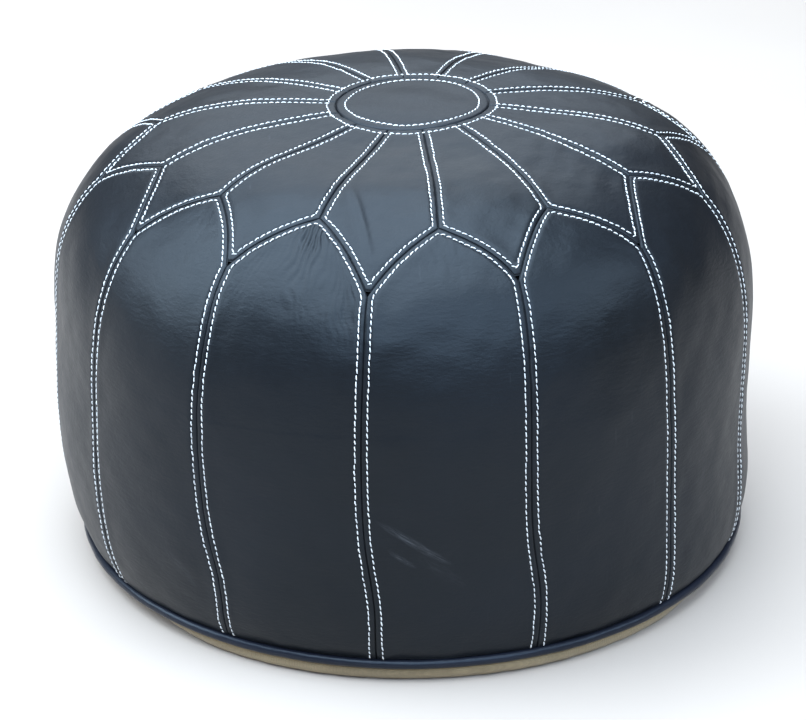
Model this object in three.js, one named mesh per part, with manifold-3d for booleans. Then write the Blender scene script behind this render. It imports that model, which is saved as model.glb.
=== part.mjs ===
// A round Moroccan leather pouf: a stuffed drum of sewn leather panels over a fabric base with a zip.
// Millimetres, +Z up, origin on the floor under the middle of the pouf.
// Angles are counted from -Y, where a radial seam of the top meets the front, towards +X.
import * as THREE from 'three';
import { mergeVertices } from 'three/addons/utils/BufferGeometryUtils.js';
import Module from 'manifold-3d';

const wasm = await Module();
wasm.setup();

// ---- body ----
const bodyRadius = 270; // widest point, at the middle of a side panel
const bodyHeight = 348; // floor to the flat middle of the top disc
const bellyHeight = 157; // floor to the widest level
const shoulderPower = 3.18; // 2 would be a round shoulder, more is squarer
const hemPower = 5.5; // how late the side turns in towards the hem
const hemInset = 10; // from the widest circle of the seams in to the hem

// ---- leather panels ----
const panelCount = 14; // side panels, and as many petals
const leather = 1.6;
const seamGap = 0.7; // between two neighbouring panels
const sideCrown = 2.5; // how far a side panel puffs out between its seams
const petalCrown = 2;
const discCrown = 1.5;
const discRadius = 57; // the ring seam round the top disc
const discFlat = 42; // radius of its flat middle
const seamAllowance = 8; // the leather is double this far in from a seam
const peakInset = 78.5; // from the widest circle of the seams in to the arch peaks
const tipInset = 37.5; // and to the petal tips
const archLean = 0.72; // where the arch's curve control stands across the half panel
const archDrop = 0.38; // and how far down towards the tip

// ---- piping ----
const pipingRadius = 3.5;
const pipingSkin = 0.9;
const pipingHeight = 15.2; // floor to the middle of the piping
const flangeWidth = 7; // the sewn-in tails of the piping, inwards from its round
const flangeSkin = 0.6;

// ---- fabric base ----
const canvas = 1.6;
const baseCorner = 10; // from the hem in to where the base lies flat
const baseBulgeInset = 1.2; // the hem to the base's fullest, just below the piping
const baseBulgeHeight = 7.6;
const recessDepth = 7; // the zip seam is drawn up by this much
const recessFlat = 20; // half width of the raised strip
const recessBeyond = 2; // its length past a pull tab that is turned outwards
const recessSlope = 40; // run of the slopes round it, back down to the floor

// ---- zip ----
const zipInset = 97.5; // from the flat edge of the base in to each end of the zip
const slotHalf = 5.5; // half width of the gap in the base that the zip shows in
const tapeWidth = 14;
const tapeSkin = 0.6;
const laneInner = 1; // a row of teeth runs between these two distances from the middle
const laneOuter = 3.1;
const toothDepth = 2.2;
const toothSpine = 0.8; // width of the strip that the teeth stand on
const toothPitch = 8;
const stopLength = 4;
const sliderLength = 12;
const sliderHalf = 4.5;
const sliderSkin = 1.2;
const bridgeSpan = 6;
const bridgeSkin = 0.8;
const bridgeHalf = 1.2;
const bridgeRoom = 1.6; // inside height of the bridge that holds the pull tab
const tabLength = 30;
const tabHalf = 4;
const tabSkin = 1;

// ---- lining and filling ----
const liningSkin = 0.8;
const liningInset = 7; // from the seam surface of the leather in to the lining
const liningCorner = 7;
const clearance = 0.4; // between pieces that lie against each other
const fine = 0.3; // between the small parts of the zip

// ---- how finely the shapes are cut ----
// Places across a panel are shares of its half width, the rows shares of its length.
const sideColumns = [-1, -0.86, -0.45, 0, 0.45, 0.86, 1];
const petalColumns = [-1, -0.55, -0.14, 0, 0.14, 0.55, 1];
const sideRows = [0, 0.03, 0.25, 0.45, 0.6, 0.72, 0.82, 0.91, 1];
const petalRows = [0, 0.3, 0.55, 0.75, 0.88, 1];
const discSegments = 42;
const hemSegments = 60;
const innerSegments = 36;
const outlineSteps = 400;

// ---- sizes worked out from the ones above ----
const seamRadius = bodyRadius - sideCrown;
const seamTop = bodyHeight - discCrown;
const hemRadius = seamRadius - hemInset;
const hemHeight = pipingHeight + pipingRadius + clearance;
const pipingCentre = hemRadius - leather / 2;
const flangeRadius = pipingCentre - pipingRadius - flangeWidth;
const baseFlatRadius = hemRadius - baseCorner;
const pipingUnder = pipingHeight - pipingRadius;
const lipHeight = pipingHeight - fine / 2 - flangeSkin - clearance;
const halfPanel = Math.PI / panelCount;
const zipHalf = baseFlatRadius - zipInset;
const recessLong = zipHalf + tabLength + recessBeyond;
const tapeBottom = recessDepth + canvas + fine;
const tapeTop = tapeBottom + tapeSkin;
const teethBottom = (tapeBottom + tapeTop - toothDepth) / 2;
const sliderBottom = teethBottom - clearance - sliderSkin;
const sliderTop = teethBottom + toothDepth + clearance + sliderSkin;
const tabPivot = sliderBottom - bridgeRoom / 2;
const bridgeBottom = sliderBottom - bridgeRoom - bridgeSkin;

// The body's half outline through its seams, top centre to hem: a superellipse, then a power curve.
function outlineAt(part) {
  if (part <= 1) {
    const turn = (part * Math.PI) / 2;
    return {
      r: seamRadius * Math.sin(turn) ** (2 / shoulderPower),
      z: bellyHeight + (seamTop - bellyHeight) * Math.cos(turn) ** (2 / shoulderPower),
    };
  }
  const down = part - 1;
  return {
    r: seamRadius - hemInset * down ** hemPower,
    z: bellyHeight - (bellyHeight - hemHeight) * down,
  };
}

const outline = [];
for (let i = 0; i <= 2 * outlineSteps; i++) {
  const point = outlineAt(i / outlineSteps);
  const last = outline[i - 1];
  point.length = last ? last.length + Math.hypot(point.r - last.r, point.z - last.z) : 0;
  outline.push(point);
}
const hemLength = outline[outline.length - 1].length;

// Length along the outline to where the top reaches this radius.
function lengthToRadius(r) {
  const i = outline.findIndex((point) => point.r >= r);
  const [a, b] = [outline[i - 1], outline[i]];
  return a.length + ((b.length - a.length) * (r - a.r)) / (b.r - a.r);
}

// A point of the outline, lifted off it by lift along the outward normal.
function offOutline(length, lift = 0) {
  const found = outline.findIndex((point) => point.length >= length);
  const i = found < 1 ? 1 : found;
  const [a, b] = [outline[i - 1], outline[i]];
  const step = b.length - a.length;
  const t = (length - a.length) / step;
  return {
    r: a.r + (b.r - a.r) * t - (lift * (b.z - a.z)) / step,
    z: a.z + (b.z - a.z) * t + (lift * (b.r - a.r)) / step,
  };
}

function onBody(length, angle, lift) {
  const { r, z } = offOutline(length, lift);
  return new THREE.Vector3(r * Math.sin(angle), -r * Math.cos(angle), z);
}

const discLength = lengthToRadius(discRadius);
const peakLength = lengthToRadius(seamRadius - peakInset);
const tipLength = lengthToRadius(seamRadius - tipInset);

// How far down from the peak the arch seam is, at this share of the way across the half panel.
function archLength(across) {
  const t = across / (archLean + Math.sqrt(archLean ** 2 + (1 - 2 * archLean) * across));
  return peakLength + (tipLength - peakLength) * (2 * t * (1 - t) * archDrop + t * t);
}

// ---- solids ----

// A sheet with a thickness as one closed surface; both grids are rows of points.
function closedSheet(outer, inner) {
  const rows = outer.length;
  const columns = outer[0].length;
  const right = columns - 1;
  const last = rows - 1;
  const front = (row, column) => row * columns + column;
  const back = (row, column) => rows * columns + front(row, column);
  const faces = [];
  const quad = (a, b, c, d) => faces.push(a, b, c, a, c, d);
  for (let row = 0; row < last; row++) {
    for (let column = 0; column < right; column++) {
      const next = column + 1;
      quad(front(row, column), front(row, next), front(row + 1, next), front(row + 1, column));
      quad(back(row, column), back(row + 1, column), back(row + 1, next), back(row, next));
    }
    quad(front(row, 0), front(row + 1, 0), back(row + 1, 0), back(row, 0));
    quad(back(row, right), back(row + 1, right), front(row + 1, right), front(row, right));
  }
  for (let column = 0; column < right; column++) {
    quad(back(0, column), back(0, column + 1), front(0, column + 1), front(0, column));
    quad(front(last, column), front(last, column + 1), back(last, column + 1), back(last, column));
  }
  const geometry = new THREE.BufferGeometry().setFromPoints([...outer.flat(), ...inner.flat()]);
  geometry.setIndex(faces);
  geometry.computeVertexNormals();
  return geometry;
}

// A quilted panel. reach gives the length along the outline for a row and a column; its rows run
// upwards. The sheet is doubled at its edges, where the seam allowance is turned in.
function panel(centre, rows, columns, crown, reach) {
  const outer = [];
  const inner = [];
  for (const row of rows) {
    const outerRow = [];
    const innerRow = [];
    for (const column of columns) {
      const length = reach(row, Math.abs(column));
      const angle = centre + column * (halfPanel - seamGap / 2 / offOutline(length).r);
      const atEdge = row === 0 || row === 1 || Math.abs(column) === 1;
      const puff = crown * (1 - column ** 2) * (1 - (2 * row - 1) ** 4);
      outerRow.push(onBody(length, angle, puff));
      innerRow.push(onBody(length, angle, puff - leather * (atEdge ? 2 : 1)));
    }
    outer.push(outerRow);
    inner.push(innerRow);
  }
  return closedSheet(outer, inner);
}

function sidePanel(centre) {
  return panel(centre, sideRows, sideColumns, sideCrown, (row, across) => {
    const top = archLength(across) + seamGap;
    return hemLength + (top - hemLength) * row;
  });
}

function petal(centre) {
  return panel(centre, petalRows, petalColumns, petalCrown, (row, across) => {
    const bottom = archLength(1 - across) - seamGap;
    const top = discLength + seamGap / 2;
    return bottom + (top - bottom) * row;
  });
}

// A closed profile of [radius, height] points, counter-clockwise, turned about Z.
function turned(profile, segments) {
  const points = profile.map(([r, z]) => new THREE.Vector2(r, z));
  return new THREE.LatheGeometry(points, segments).rotateX(Math.PI / 2);
}

function topDisc() {
  const edge = discRadius - seamGap / 2;
  const { z } = offOutline(lengthToRadius(edge));
  return turned(
    [
      [0, bodyHeight - leather],
      [discFlat, bodyHeight - leather],
      [edge - seamAllowance, z - leather],
      [edge, z - 2 * leather],
      [edge, z],
      [discFlat, bodyHeight],
      [0, bodyHeight],
    ],
    discSegments,
  );
}

// The piping's leather: a round hose slit on its inner side, with two tails sewn into the hem.
function pipingCover() {
  const slit = fine / 2;
  const hose = (radius, side, steps) => {
    const start = Math.asin(side / radius);
    const points = [];
    for (let i = 0; i <= steps; i++) {
      const turn = Math.PI + start + ((2 * Math.PI - 2 * start) * i) / steps;
      points.push([pipingCentre + radius * Math.cos(turn), pipingHeight + radius * Math.sin(turn)]);
    }
    return points;
  };
  const outside = hose(pipingRadius, slit + flangeSkin, 8);
  const inside = hose(pipingRadius - pipingSkin, slit, 6).reverse();
  const profile = [
    [flangeRadius, pipingHeight - slit - flangeSkin],
    ...outside,
    [flangeRadius, pipingHeight + slit + flangeSkin],
    [flangeRadius, pipingHeight + slit],
    ...inside,
    [flangeRadius, pipingHeight - slit],
  ];
  return turned([...profile, profile[0]], hemSegments);
}

function pipingCord() {
  const radius = pipingRadius - pipingSkin - fine;
  return new THREE.TorusGeometry(pipingCentre, radius, 6, hemSegments).translate(0, 0, pipingHeight);
}

// ---- cutting and joining ----
function toSolid(geometry) {
  const bare = geometry.clone();
  bare.deleteAttribute('normal');
  bare.deleteAttribute('uv');
  const merged = mergeVertices(bare, 1e-3);
  const mesh = new wasm.Mesh({
    numProp: 3,
    vertProperties: merged.attributes.position.array,
    triVerts: new Uint32Array(merged.index.array),
  });
  return new wasm.Manifold(mesh);
}

function toGeometry(solid) {
  const mesh = solid.getMesh();
  const geometry = new THREE.BufferGeometry();
  geometry.setAttribute('position', new THREE.BufferAttribute(mesh.vertProperties, 3));
  geometry.setIndex(new THREE.BufferAttribute(mesh.triVerts, 1));
  const flat = geometry.toNonIndexed();
  flat.computeVertexNormals();
  return flat;
}

function box([x0, x1], [y0, y1], [z0, z1]) {
  const geometry = new THREE.BoxGeometry(x1 - x0, y1 - y0, z1 - z0);
  return geometry.translate((x0 + x1) / 2, (y0 + y1) / 2, (z0 + z1) / 2);
}

// The long raised trough over the zip, lifted and widened by lift; it reaches down below the floor.
function recess(lift) {
  const level = (height, grow) => {
    const x = recessLong + lift + grow;
    const y = recessFlat + lift + grow;
    return [
      [new THREE.Vector3(-x, -y, height), new THREE.Vector3(x, -y, height)],
      [new THREE.Vector3(-x, y, height), new THREE.Vector3(x, y, height)],
    ];
  };
  const top = level(recessDepth + lift, 0);
  const bottom = level(lift - recessDepth, 2 * recessSlope);
  return toSolid(closedSheet(top, bottom));
}

// ---- base ----

// The points moved to the left of their path by distance, with mitred corners.
function parallel(points, distance) {
  return points.map(([x, y], i) => {
    const [x0, y0] = points[Math.max(i - 1, 0)];
    const [x1, y1] = points[Math.min(i + 1, points.length - 1)];
    const before = i > 0 ? Math.atan2(y - y0, x - x0) : Math.atan2(y1 - y, x1 - x);
    const after = i < points.length - 1 ? Math.atan2(y1 - y, x1 - x) : before;
    const along = (before + after) / 2;
    const mitre = distance / Math.cos((after - before) / 2);
    return [x - mitre * Math.sin(along), y + mitre * Math.cos(along)];
  });
}

function baseDish() {
  const neck = pipingCentre - pipingRadius - 2 * clearance;
  const bulge = new THREE.QuadraticBezierCurve(
    new THREE.Vector2(baseFlatRadius, 0),
    new THREE.Vector2(hemRadius - baseBulgeInset, 0),
    new THREE.Vector2(hemRadius - baseBulgeInset, baseBulgeHeight),
  );
  const wall = [
    [0, 0],
    ...bulge.getPoints(4).map(({ x, y }) => [x, y]),
    [pipingCentre - pipingRadius / 2, pipingUnder - clearance],
    [neck, lipHeight],
    [flangeRadius, lipHeight],
  ];
  const outside = [...wall, [0, lipHeight]];
  const inside = [...parallel(wall, canvas), [flangeRadius, lipHeight + canvas], [0, lipHeight + canvas]];
  const body = toSolid(turned(outside, hemSegments)).subtract(recess(0));
  return body.subtract(toSolid(turned(inside, hemSegments)).subtract(recess(canvas)));
}

// Half of the base: side is -1 for the front and 1 for the back.
function baseHalf(side) {
  const far = 2 * bodyRadius;
  const other = side < 0 ? [-seamGap / 2, far] : [-far, seamGap / 2];
  const slotLong = zipHalf + stopLength + 2 * clearance;
  return baseDish()
    .subtract(toSolid(box([-far, far], other, [-far, far])))
    .subtract(toSolid(box([-slotLong, slotLong], [-slotHalf, slotHalf], [-far, far])));
}

// ---- lining and filling ----

// The stuffed body's inside at inset from the leather's seams, solid, with its hollow over the zip.
function stuffing(inset, grow) {
  const shares = [0, 0.3, 0.46, 0.54, 0.61, 0.68, 0.8, 0.96];
  const side = shares.map((share) => {
    const { r, z } = offOutline(share * hemLength, -inset);
    return [Math.max(r, 0), z];
  });
  const floor = canvas + clearance + grow;
  const corner = flangeRadius - 2 * clearance - liningSkin - grow;
  const profile = [
    [0, floor],
    [corner - liningCorner, floor],
    [corner, floor + liningCorner],
    [corner, hemHeight],
    ...side.reverse(),
  ];
  const ridgeHeight = sliderTop + clearance + grow;
  const ridgeHalf = sliderHalf + clearance + grow;
  const ridgeLong = zipHalf + stopLength + 2 * clearance + grow;
  const ridge = box([-ridgeLong, ridgeLong], [-ridgeHalf, ridgeHalf], [0, ridgeHeight]);
  return toSolid(turned(profile, innerSegments))
    .subtract(recess(tapeTop - recessDepth + clearance + grow))
    .subtract(toSolid(ridge));
}

function lining() {
  const mouth = zipHalf - sliderLength;
  const slit = box([-mouth, mouth], [-laneInner, laneInner], [0, sliderTop + 2 * clearance + liningSkin]);
  return stuffing(liningInset, 0)
    .subtract(stuffing(liningInset + liningSkin, liningSkin))
    .subtract(toSolid(slit));
}

function filling() {
  const grow = liningSkin + clearance;
  return stuffing(liningInset + grow, grow);
}

// ---- zip ----
function zipTape(side) {
  const half = zipHalf + stopLength;
  const near = side * (laneOuter + fine);
  const far = side * (laneOuter + fine + tapeWidth);
  return box([-half, half], [Math.min(near, far), Math.max(near, far)], [tapeBottom, tapeTop]);
}

// A row of teeth as one comb; the back row stands half a pitch on from the front one.
function zipTeeth(side) {
  const spine = laneOuter - toothSpine;
  const start = -zipHalf + (side > 0 ? toothPitch / 2 : 0);
  const count = Math.floor((2 * zipHalf) / toothPitch) - 1;
  const shape = new THREE.Shape();
  shape.moveTo(start, laneOuter);
  for (let i = 0; i < count; i++) {
    const x = start + i * toothPitch;
    shape.lineTo(x, laneInner);
    shape.lineTo(x + toothPitch / 2, laneInner);
    shape.lineTo(x + toothPitch / 2, spine);
    shape.lineTo(x + toothPitch, spine);
  }
  shape.lineTo(start + count * toothPitch, laneOuter);
  const geometry = new THREE.ExtrudeGeometry(shape, { depth: toothDepth, bevelEnabled: false });
  if (side < 0) geometry.rotateX(Math.PI).translate(0, 0, toothDepth);
  return geometry.translate(0, 0, teethBottom);
}

// A stop crimped on beyond the teeth, across the lanes from y0 to y1.
function zipStop(x, y0, y1) {
  return box([x, x + stopLength], [y0, y1], [teethBottom, teethBottom + toothDepth]);
}

// One face of the slider: a shield that narrows towards the joined teeth.
function sliderPlate(bottom) {
  const half = sliderLength / 2;
  const tail = sliderHalf * 0.62;
  const shape = new THREE.Shape();
  shape.moveTo(-half, -tail);
  shape.lineTo(half * 0.3, -sliderHalf);
  shape.quadraticCurveTo(half, -sliderHalf, half, 0);
  shape.quadraticCurveTo(half, sliderHalf, half * 0.3, sliderHalf);
  shape.lineTo(-half, tail);
  const plate = new THREE.ExtrudeGeometry(shape, {
    depth: sliderSkin,
    bevelEnabled: false,
    curveSegments: 4,
  });
  return plate.translate(0, 0, bottom);
}

function zipSlider() {
  const web = laneInner - clearance;
  const across = [-bridgeHalf, bridgeHalf];
  const legs = [-bridgeSpan / 2, bridgeSpan / 2 - bridgeSkin];
  const pieces = [
    sliderPlate(sliderTop - sliderSkin),
    box([-sliderSkin, sliderLength / 2 - sliderSkin], [-web, web], [sliderBottom, sliderTop]),
    box([-bridgeSpan / 2, bridgeSpan / 2], across, [bridgeBottom, bridgeBottom + bridgeSkin]),
    ...legs.map((x) => box([x, x + bridgeSkin], across, [bridgeBottom, sliderBottom + sliderSkin / 2])),
  ];
  return pieces.reduce((all, piece) => all.add(toSolid(piece)), toSolid(sliderPlate(sliderBottom)));
}

// The pull tab about its pivot: its cross bar turns inside the slider's bridge.
function pullTab() {
  const bar = tabSkin / 2;
  const windowHalf = bridgeHalf + clearance + fine;
  const reach = Math.hypot(bridgeSpan / 2, tabPivot - bridgeBottom) + clearance;
  const shape = new THREE.Shape();
  const rail = windowHalf + tabSkin;
  const waist = reach + tabSkin;
  shape.moveTo(-bar, -rail);
  shape.lineTo(waist, -rail);
  shape.quadraticCurveTo(waist + tabHalf, -tabHalf, tabLength - tabHalf, -tabHalf);
  shape.absarc(tabLength - tabHalf, 0, tabHalf, -Math.PI / 2, Math.PI / 2);
  shape.quadraticCurveTo(waist + tabHalf, tabHalf, waist, rail);
  shape.lineTo(-bar, rail);
  const opening = new THREE.Path();
  opening.moveTo(bar, -windowHalf);
  opening.lineTo(bar, windowHalf);
  opening.lineTo(reach, windowHalf);
  opening.lineTo(reach, -windowHalf);
  shape.holes.push(opening);
  const tab = new THREE.ExtrudeGeometry(shape, {
    depth: tabSkin,
    bevelEnabled: false,
    curveSegments: 6,
  });
  return tab.translate(0, 0, -tabSkin / 2);
}

// ---- materials ----
const material = (color, roughness, metalness = 0) =>
  new THREE.MeshStandardMaterial({ color, roughness, metalness });
const navyLeather = material(0x30343f, 0.45);
const pipingLeather = material(0x2b303c, 0.35);
const naturalCanvas = material(0x837b68, 0.95);
const liningCotton = material(0xb9b09c, 0.95);
const cottonCord = material(0xcfc8b8, 0.95);
const scrapFilling = material(0x9c9080, 1);
const zipTapeCloth = material(0x23262d, 0.9);
const zipBrass = material(0x9a8350, 0.35, 1);

// ---- the pouf ----
const pouf = new THREE.Group();

function addMesh(parent, name, geometry, look) {
  const mesh = new THREE.Mesh(geometry, look);
  mesh.name = name;
  parent.add(mesh);
  return mesh;
}

addMesh(pouf, 'top_disc', topDisc(), navyLeather.clone());
for (let i = 0; i < panelCount; i++) {
  const number = String(i + 1).padStart(2, '0');
  const turn = 2 * halfPanel * i;
  addMesh(pouf, `side_panel_${number}`, sidePanel(turn), navyLeather.clone());
  addMesh(pouf, `petal_${number}`, petal(turn + halfPanel), navyLeather.clone());
}
addMesh(pouf, 'piping_cover', pipingCover(), pipingLeather);
addMesh(pouf, 'piping_cord', pipingCord(), cottonCord);
addMesh(pouf, 'base_front', toGeometry(baseHalf(-1)), naturalCanvas);
addMesh(pouf, 'base_back', toGeometry(baseHalf(1)), naturalCanvas.clone());
addMesh(pouf, 'lining_bag', toGeometry(lining()), liningCotton);
addMesh(pouf, 'filling', toGeometry(filling()), scrapFilling);

const zip = new THREE.Group();
const closedEnd = -zipHalf - stopLength - fine;
addMesh(zip, 'zip_tape_front', zipTape(-1), zipTapeCloth);
addMesh(zip, 'zip_tape_back', zipTape(1), zipTapeCloth.clone());
addMesh(zip, 'zip_teeth_front', zipTeeth(-1), zipBrass);
addMesh(zip, 'zip_teeth_back', zipTeeth(1), zipBrass.clone());
addMesh(zip, 'zip_stop_front', zipStop(closedEnd, -laneOuter, -laneInner), zipBrass.clone());
addMesh(zip, 'zip_stop_back', zipStop(closedEnd, laneInner, laneOuter), zipBrass.clone());
addMesh(zip, 'zip_stop_end', zipStop(zipHalf, -laneOuter, laneOuter), zipBrass.clone());
pouf.add(zip);

const slider = new THREE.Group();
slider.position.x = -zipHalf + sliderLength / 2;
addMesh(slider, 'zip_slider', toGeometry(zipSlider()), zipBrass.clone());
const tab = addMesh(slider, 'zip_pull_tab', pullTab(), zipBrass.clone());
tab.position.z = tabPivot;
zip.add(slider);

export default pouf;
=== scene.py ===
import math
import bpy
import bmesh
import numpy as np
from mathutils import Matrix, Vector


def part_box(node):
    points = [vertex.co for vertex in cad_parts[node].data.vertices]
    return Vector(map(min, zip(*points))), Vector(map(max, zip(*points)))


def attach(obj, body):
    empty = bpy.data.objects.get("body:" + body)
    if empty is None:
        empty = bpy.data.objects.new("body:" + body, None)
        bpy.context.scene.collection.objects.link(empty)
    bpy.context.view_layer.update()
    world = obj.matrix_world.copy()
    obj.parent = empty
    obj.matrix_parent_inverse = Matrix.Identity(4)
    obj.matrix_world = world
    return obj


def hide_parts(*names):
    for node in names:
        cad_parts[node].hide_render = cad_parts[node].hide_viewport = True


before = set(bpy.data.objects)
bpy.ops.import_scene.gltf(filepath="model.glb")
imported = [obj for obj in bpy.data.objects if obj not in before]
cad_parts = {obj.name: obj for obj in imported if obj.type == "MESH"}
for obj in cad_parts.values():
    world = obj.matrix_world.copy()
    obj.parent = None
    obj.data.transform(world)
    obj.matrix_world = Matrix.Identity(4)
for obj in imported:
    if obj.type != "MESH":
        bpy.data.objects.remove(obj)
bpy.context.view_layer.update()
scene = bpy.context.scene
mm = 0.001
print("frame loaded")

# Angles start at -Y, where a radial seam meets the front, and run towards +X.
# Length is counted along the leather from the middle of the top down to the hem.
body = {
    "height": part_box("top_disc")[1].z,
    "radius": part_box("side_panel_08")[1].y,
    "belly": 157 * mm,
    "shoulderPower": 3.18,
    "hemPower": 5.5,
    "hemInset": 10 * mm,
    "sideCrown": 2.5 * mm,
    "discCrown": 1.5 * mm,
    "panels": 14,
    "leather": 1.6 * mm,
    "disc": 57 * mm,
    "peakInset": 78.5 * mm,
    "tipInset": 37.5 * mm,
    "archLean": 0.72,
    "archDrop": 0.38,
}
piping = {
    "radius": 3.5 * mm,
    "skin": 0.9 * mm,
    "gap": 0.4 * mm,
    "dark": (0.0075, 0.0088, 0.0150),
    "light": (0.0120, 0.0140, 0.0240),
    "roughness": (0.30, 0.42),
    "pebbleDepth": 0.04 * mm,
}
pipingLow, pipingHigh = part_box("piping_cover")
pipingZ = (pipingLow.z + pipingHigh.z) / 2
hemZ = pipingHigh.z + piping["gap"]
seamRadius = body["radius"] - body["sideCrown"]
seamTop = body["height"] - body["discCrown"]
hemRadius = seamRadius - body["hemInset"]
pipingR = hemRadius - body["leather"] / 2
halfAngle = math.pi / body["panels"]

part = np.linspace(0, 2, 2401)
turn = np.clip(part, 0, 1) * math.pi / 2
down = np.clip(part - 1, 0, None)
shoulder = 2 / body["shoulderPower"]
bodyR = seamRadius * np.sin(turn) ** shoulder - body["hemInset"] * down ** body["hemPower"]
bodyZ = body["belly"] + (seamTop - body["belly"]) * np.abs(np.cos(turn)) ** shoulder
bodyZ = np.where(part <= 1, bodyZ, body["belly"] - (body["belly"] - hemZ) * down)
bodyLength = np.concatenate([[0], np.cumsum(np.hypot(np.diff(bodyR), np.diff(bodyZ)))])
slopeR = np.gradient(bodyR, bodyLength)
slopeZ = np.gradient(bodyZ, bodyLength)
hemLength = bodyLength[-1]


def lengthAt(radius):  # only as far as the belly, where the radius starts to shrink again
    onTop = part <= 1
    return float(np.interp(radius, bodyR[onTop], bodyLength[onTop]))


def radiusAt(length):
    return np.interp(length, bodyLength, bodyR)


def aroundZ(angle, radius, z):
    return np.stack([radius * np.sin(angle), -radius * np.cos(angle), z], axis=-1)


def wrapped(angle):  # into the range from -pi to pi
    return (angle + math.pi) % (2 * math.pi) - math.pi


discLength = lengthAt(body["disc"])
peakLength = lengthAt(seamRadius - body["peakInset"])
tipLength = lengthAt(seamRadius - body["tipInset"])


def archLength(across):  # where the arch seam runs, from the peak at 0 to the petal tip at 1
    lean, drop = body["archLean"], body["archDrop"]
    t = across / (lean + np.sqrt(lean**2 + (1 - 2 * lean) * across))
    return peakLength + (tipLength - peakLength) * (2 * t * (1 - t) * drop + t * t)


def archSteepness(across):  # cosine of the arch seam's slope, to turn a drop into a distance
    step = 0.01
    low, high = np.clip(across - step, 0, 1), np.clip(across + step, 0, 1)
    width = halfAngle * radiusAt(archLength(across))
    rise = (archLength(high) - archLength(low)) / ((high - low) * width)
    return 1 / np.sqrt(1 + rise**2)


def waves(points, wavelength, seed, count=24):  # smooth noise of about unit size
    rng = np.random.default_rng(seed)
    way = rng.normal(size=(count, 3))
    way /= np.linalg.norm(way, axis=1)[:, None]
    turns = way * (2 * math.pi / wavelength) * rng.uniform(0.6, 1.5, count)[:, None]
    phase = rng.uniform(0, 2 * math.pi, count)
    total = np.zeros(points.shape[:-1])
    for row, start in zip(turns, phase):
        total += np.sin(points @ row + start)
    return total * math.sqrt(2 / count)


# Hand-sewn seams wander: at this angle (degrees) and length (mm) the leather sits this far
# sideways and down (mm), fading out over about a panel's width.
wander = {
    "side": 0.9 * mm,  # a slow wave of every seam, and a quicker one on top
    "fineSide": 0.6 * mm,
    "fall": 1.0 * mm,
    "levelHem": 20 * mm,
    "reach": 38 * mm,
    "pulls": [
        (26, 196, -5, -1), (-26, 196, -1, -2), (0, 196, -2, 2), (51, 196, 2, -3), (77, 196, 2, 0),
        (-13, 246, -2, 5), (39, 246, 0, 3), (-39, 246, -4, -1), (-64, 246, 0, 4),
        (90, 250, -2, -2), (141, 196, 3, 1), (-128, 246, -3, 2), (180, 196, 2, -3), (-154, 196, 3, 2),
        (13, 480, 4, 0), (-13, 480, 4, 0), (-39, 480, 6, 0), (39, 420, 1, 0), (64, 440, -2, 0),
    ],
}


def drift(angle, length):
    radius = radiusAt(length)
    side = wander["side"] * np.sin(3 * angle + 1.3 + 9 * length)
    side = side + wander["fineSide"] * np.sin(5 * angle + 4 + 14 * length)
    fall = wander["fall"] * np.sin(4 * angle + 0.6) * np.sin(math.pi * length / hemLength)
    for atAngle, atLength, pull, drop in wander["pulls"]:
        away = wrapped(angle - math.radians(atAngle))
        near = np.exp(-((away * radius) ** 2 + (length - atLength * mm) ** 2) / wander["reach"] ** 2)
        side = side + pull * mm * near
        fall = fall + drop * mm * near
    inner = np.clip(length / discLength, 0, 1) ** 2  # nothing moves in the middle of the disc
    outer = np.clip((hemLength - length) / wander["levelHem"], 0, 1)  # and the hem stays level
    return angle + side * inner / np.maximum(radius, 1e-3), length + fall * inner * outer


settling = {
    "discAt": (3.2 * mm, -3.6 * mm),  # the disc was sewn in off the middle, and a little oval
    "discOval": 0.055,
    "lean": 8 * mm,  # the belly hangs over to -X
    "bulge": 2.2 * mm,
    "dent": 1.6 * mm,
    "middle": 100 * mm,  # how far from the axis the disc's shift has faded out by half
    "above": 200 * mm,  # and the height that it starts at
}


def settle(points):  # the stuffing packs unevenly, and every piece follows it
    moved = points.copy()
    radial = np.linalg.norm(points[..., :2], axis=-1)
    middle = 1 / (1 + (radial / settling["middle"]) ** 4) * (points[..., 2] > settling["above"])
    height = np.clip((points[..., 2] - hemZ) / (seamTop - hemZ), 0, 1)
    belly = np.sin(math.pi * height)
    lumps = settling["bulge"] * waves(points, 0.26, 3) * belly
    moved[..., :2] += points[..., :2] / np.maximum(radial, 1e-3)[..., None] * lumps[..., None]
    moved[..., 0] += settling["discAt"][0] * middle - settling["lean"] * belly
    moved[..., 1] += settling["discAt"][1] * middle - settling["discOval"] * points[..., 1] * middle
    moved[..., 2] += settling["dent"] * waves(points, 0.17, 5) * np.clip(height - 0.5, 0, 1) * 2
    return moved


def onBody(angle, length, lift):
    angle, length = drift(angle, length)
    r = radiusAt(length) - lift * np.interp(length, bodyLength, slopeZ)
    z = np.interp(length, bodyLength, bodyZ) + lift * np.interp(length, bodyLength, slopeR)
    return settle(aroundZ(angle, r, z))


def bodyNormal(angle, length):
    outward = -np.interp(length, bodyLength, slopeZ)
    return aroundZ(angle, outward, np.interp(length, bodyLength, slopeR))


def newObject(name, points, faces, material, attributes=None):
    mesh = bpy.data.meshes.new(name)
    mesh.from_pydata(points.tolist(), [], faces.tolist() if hasattr(faces, "tolist") else faces)
    for label, values in (attributes or {}).items():
        layer = mesh.attributes.new(label, "FLOAT", "POINT")
        layer.data.foreach_set("value", np.asarray(values, np.float32).ravel())
    mesh.shade_smooth()
    mesh.validate()
    if material:
        mesh.materials.append(material)
    return linked(name, mesh)


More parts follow.
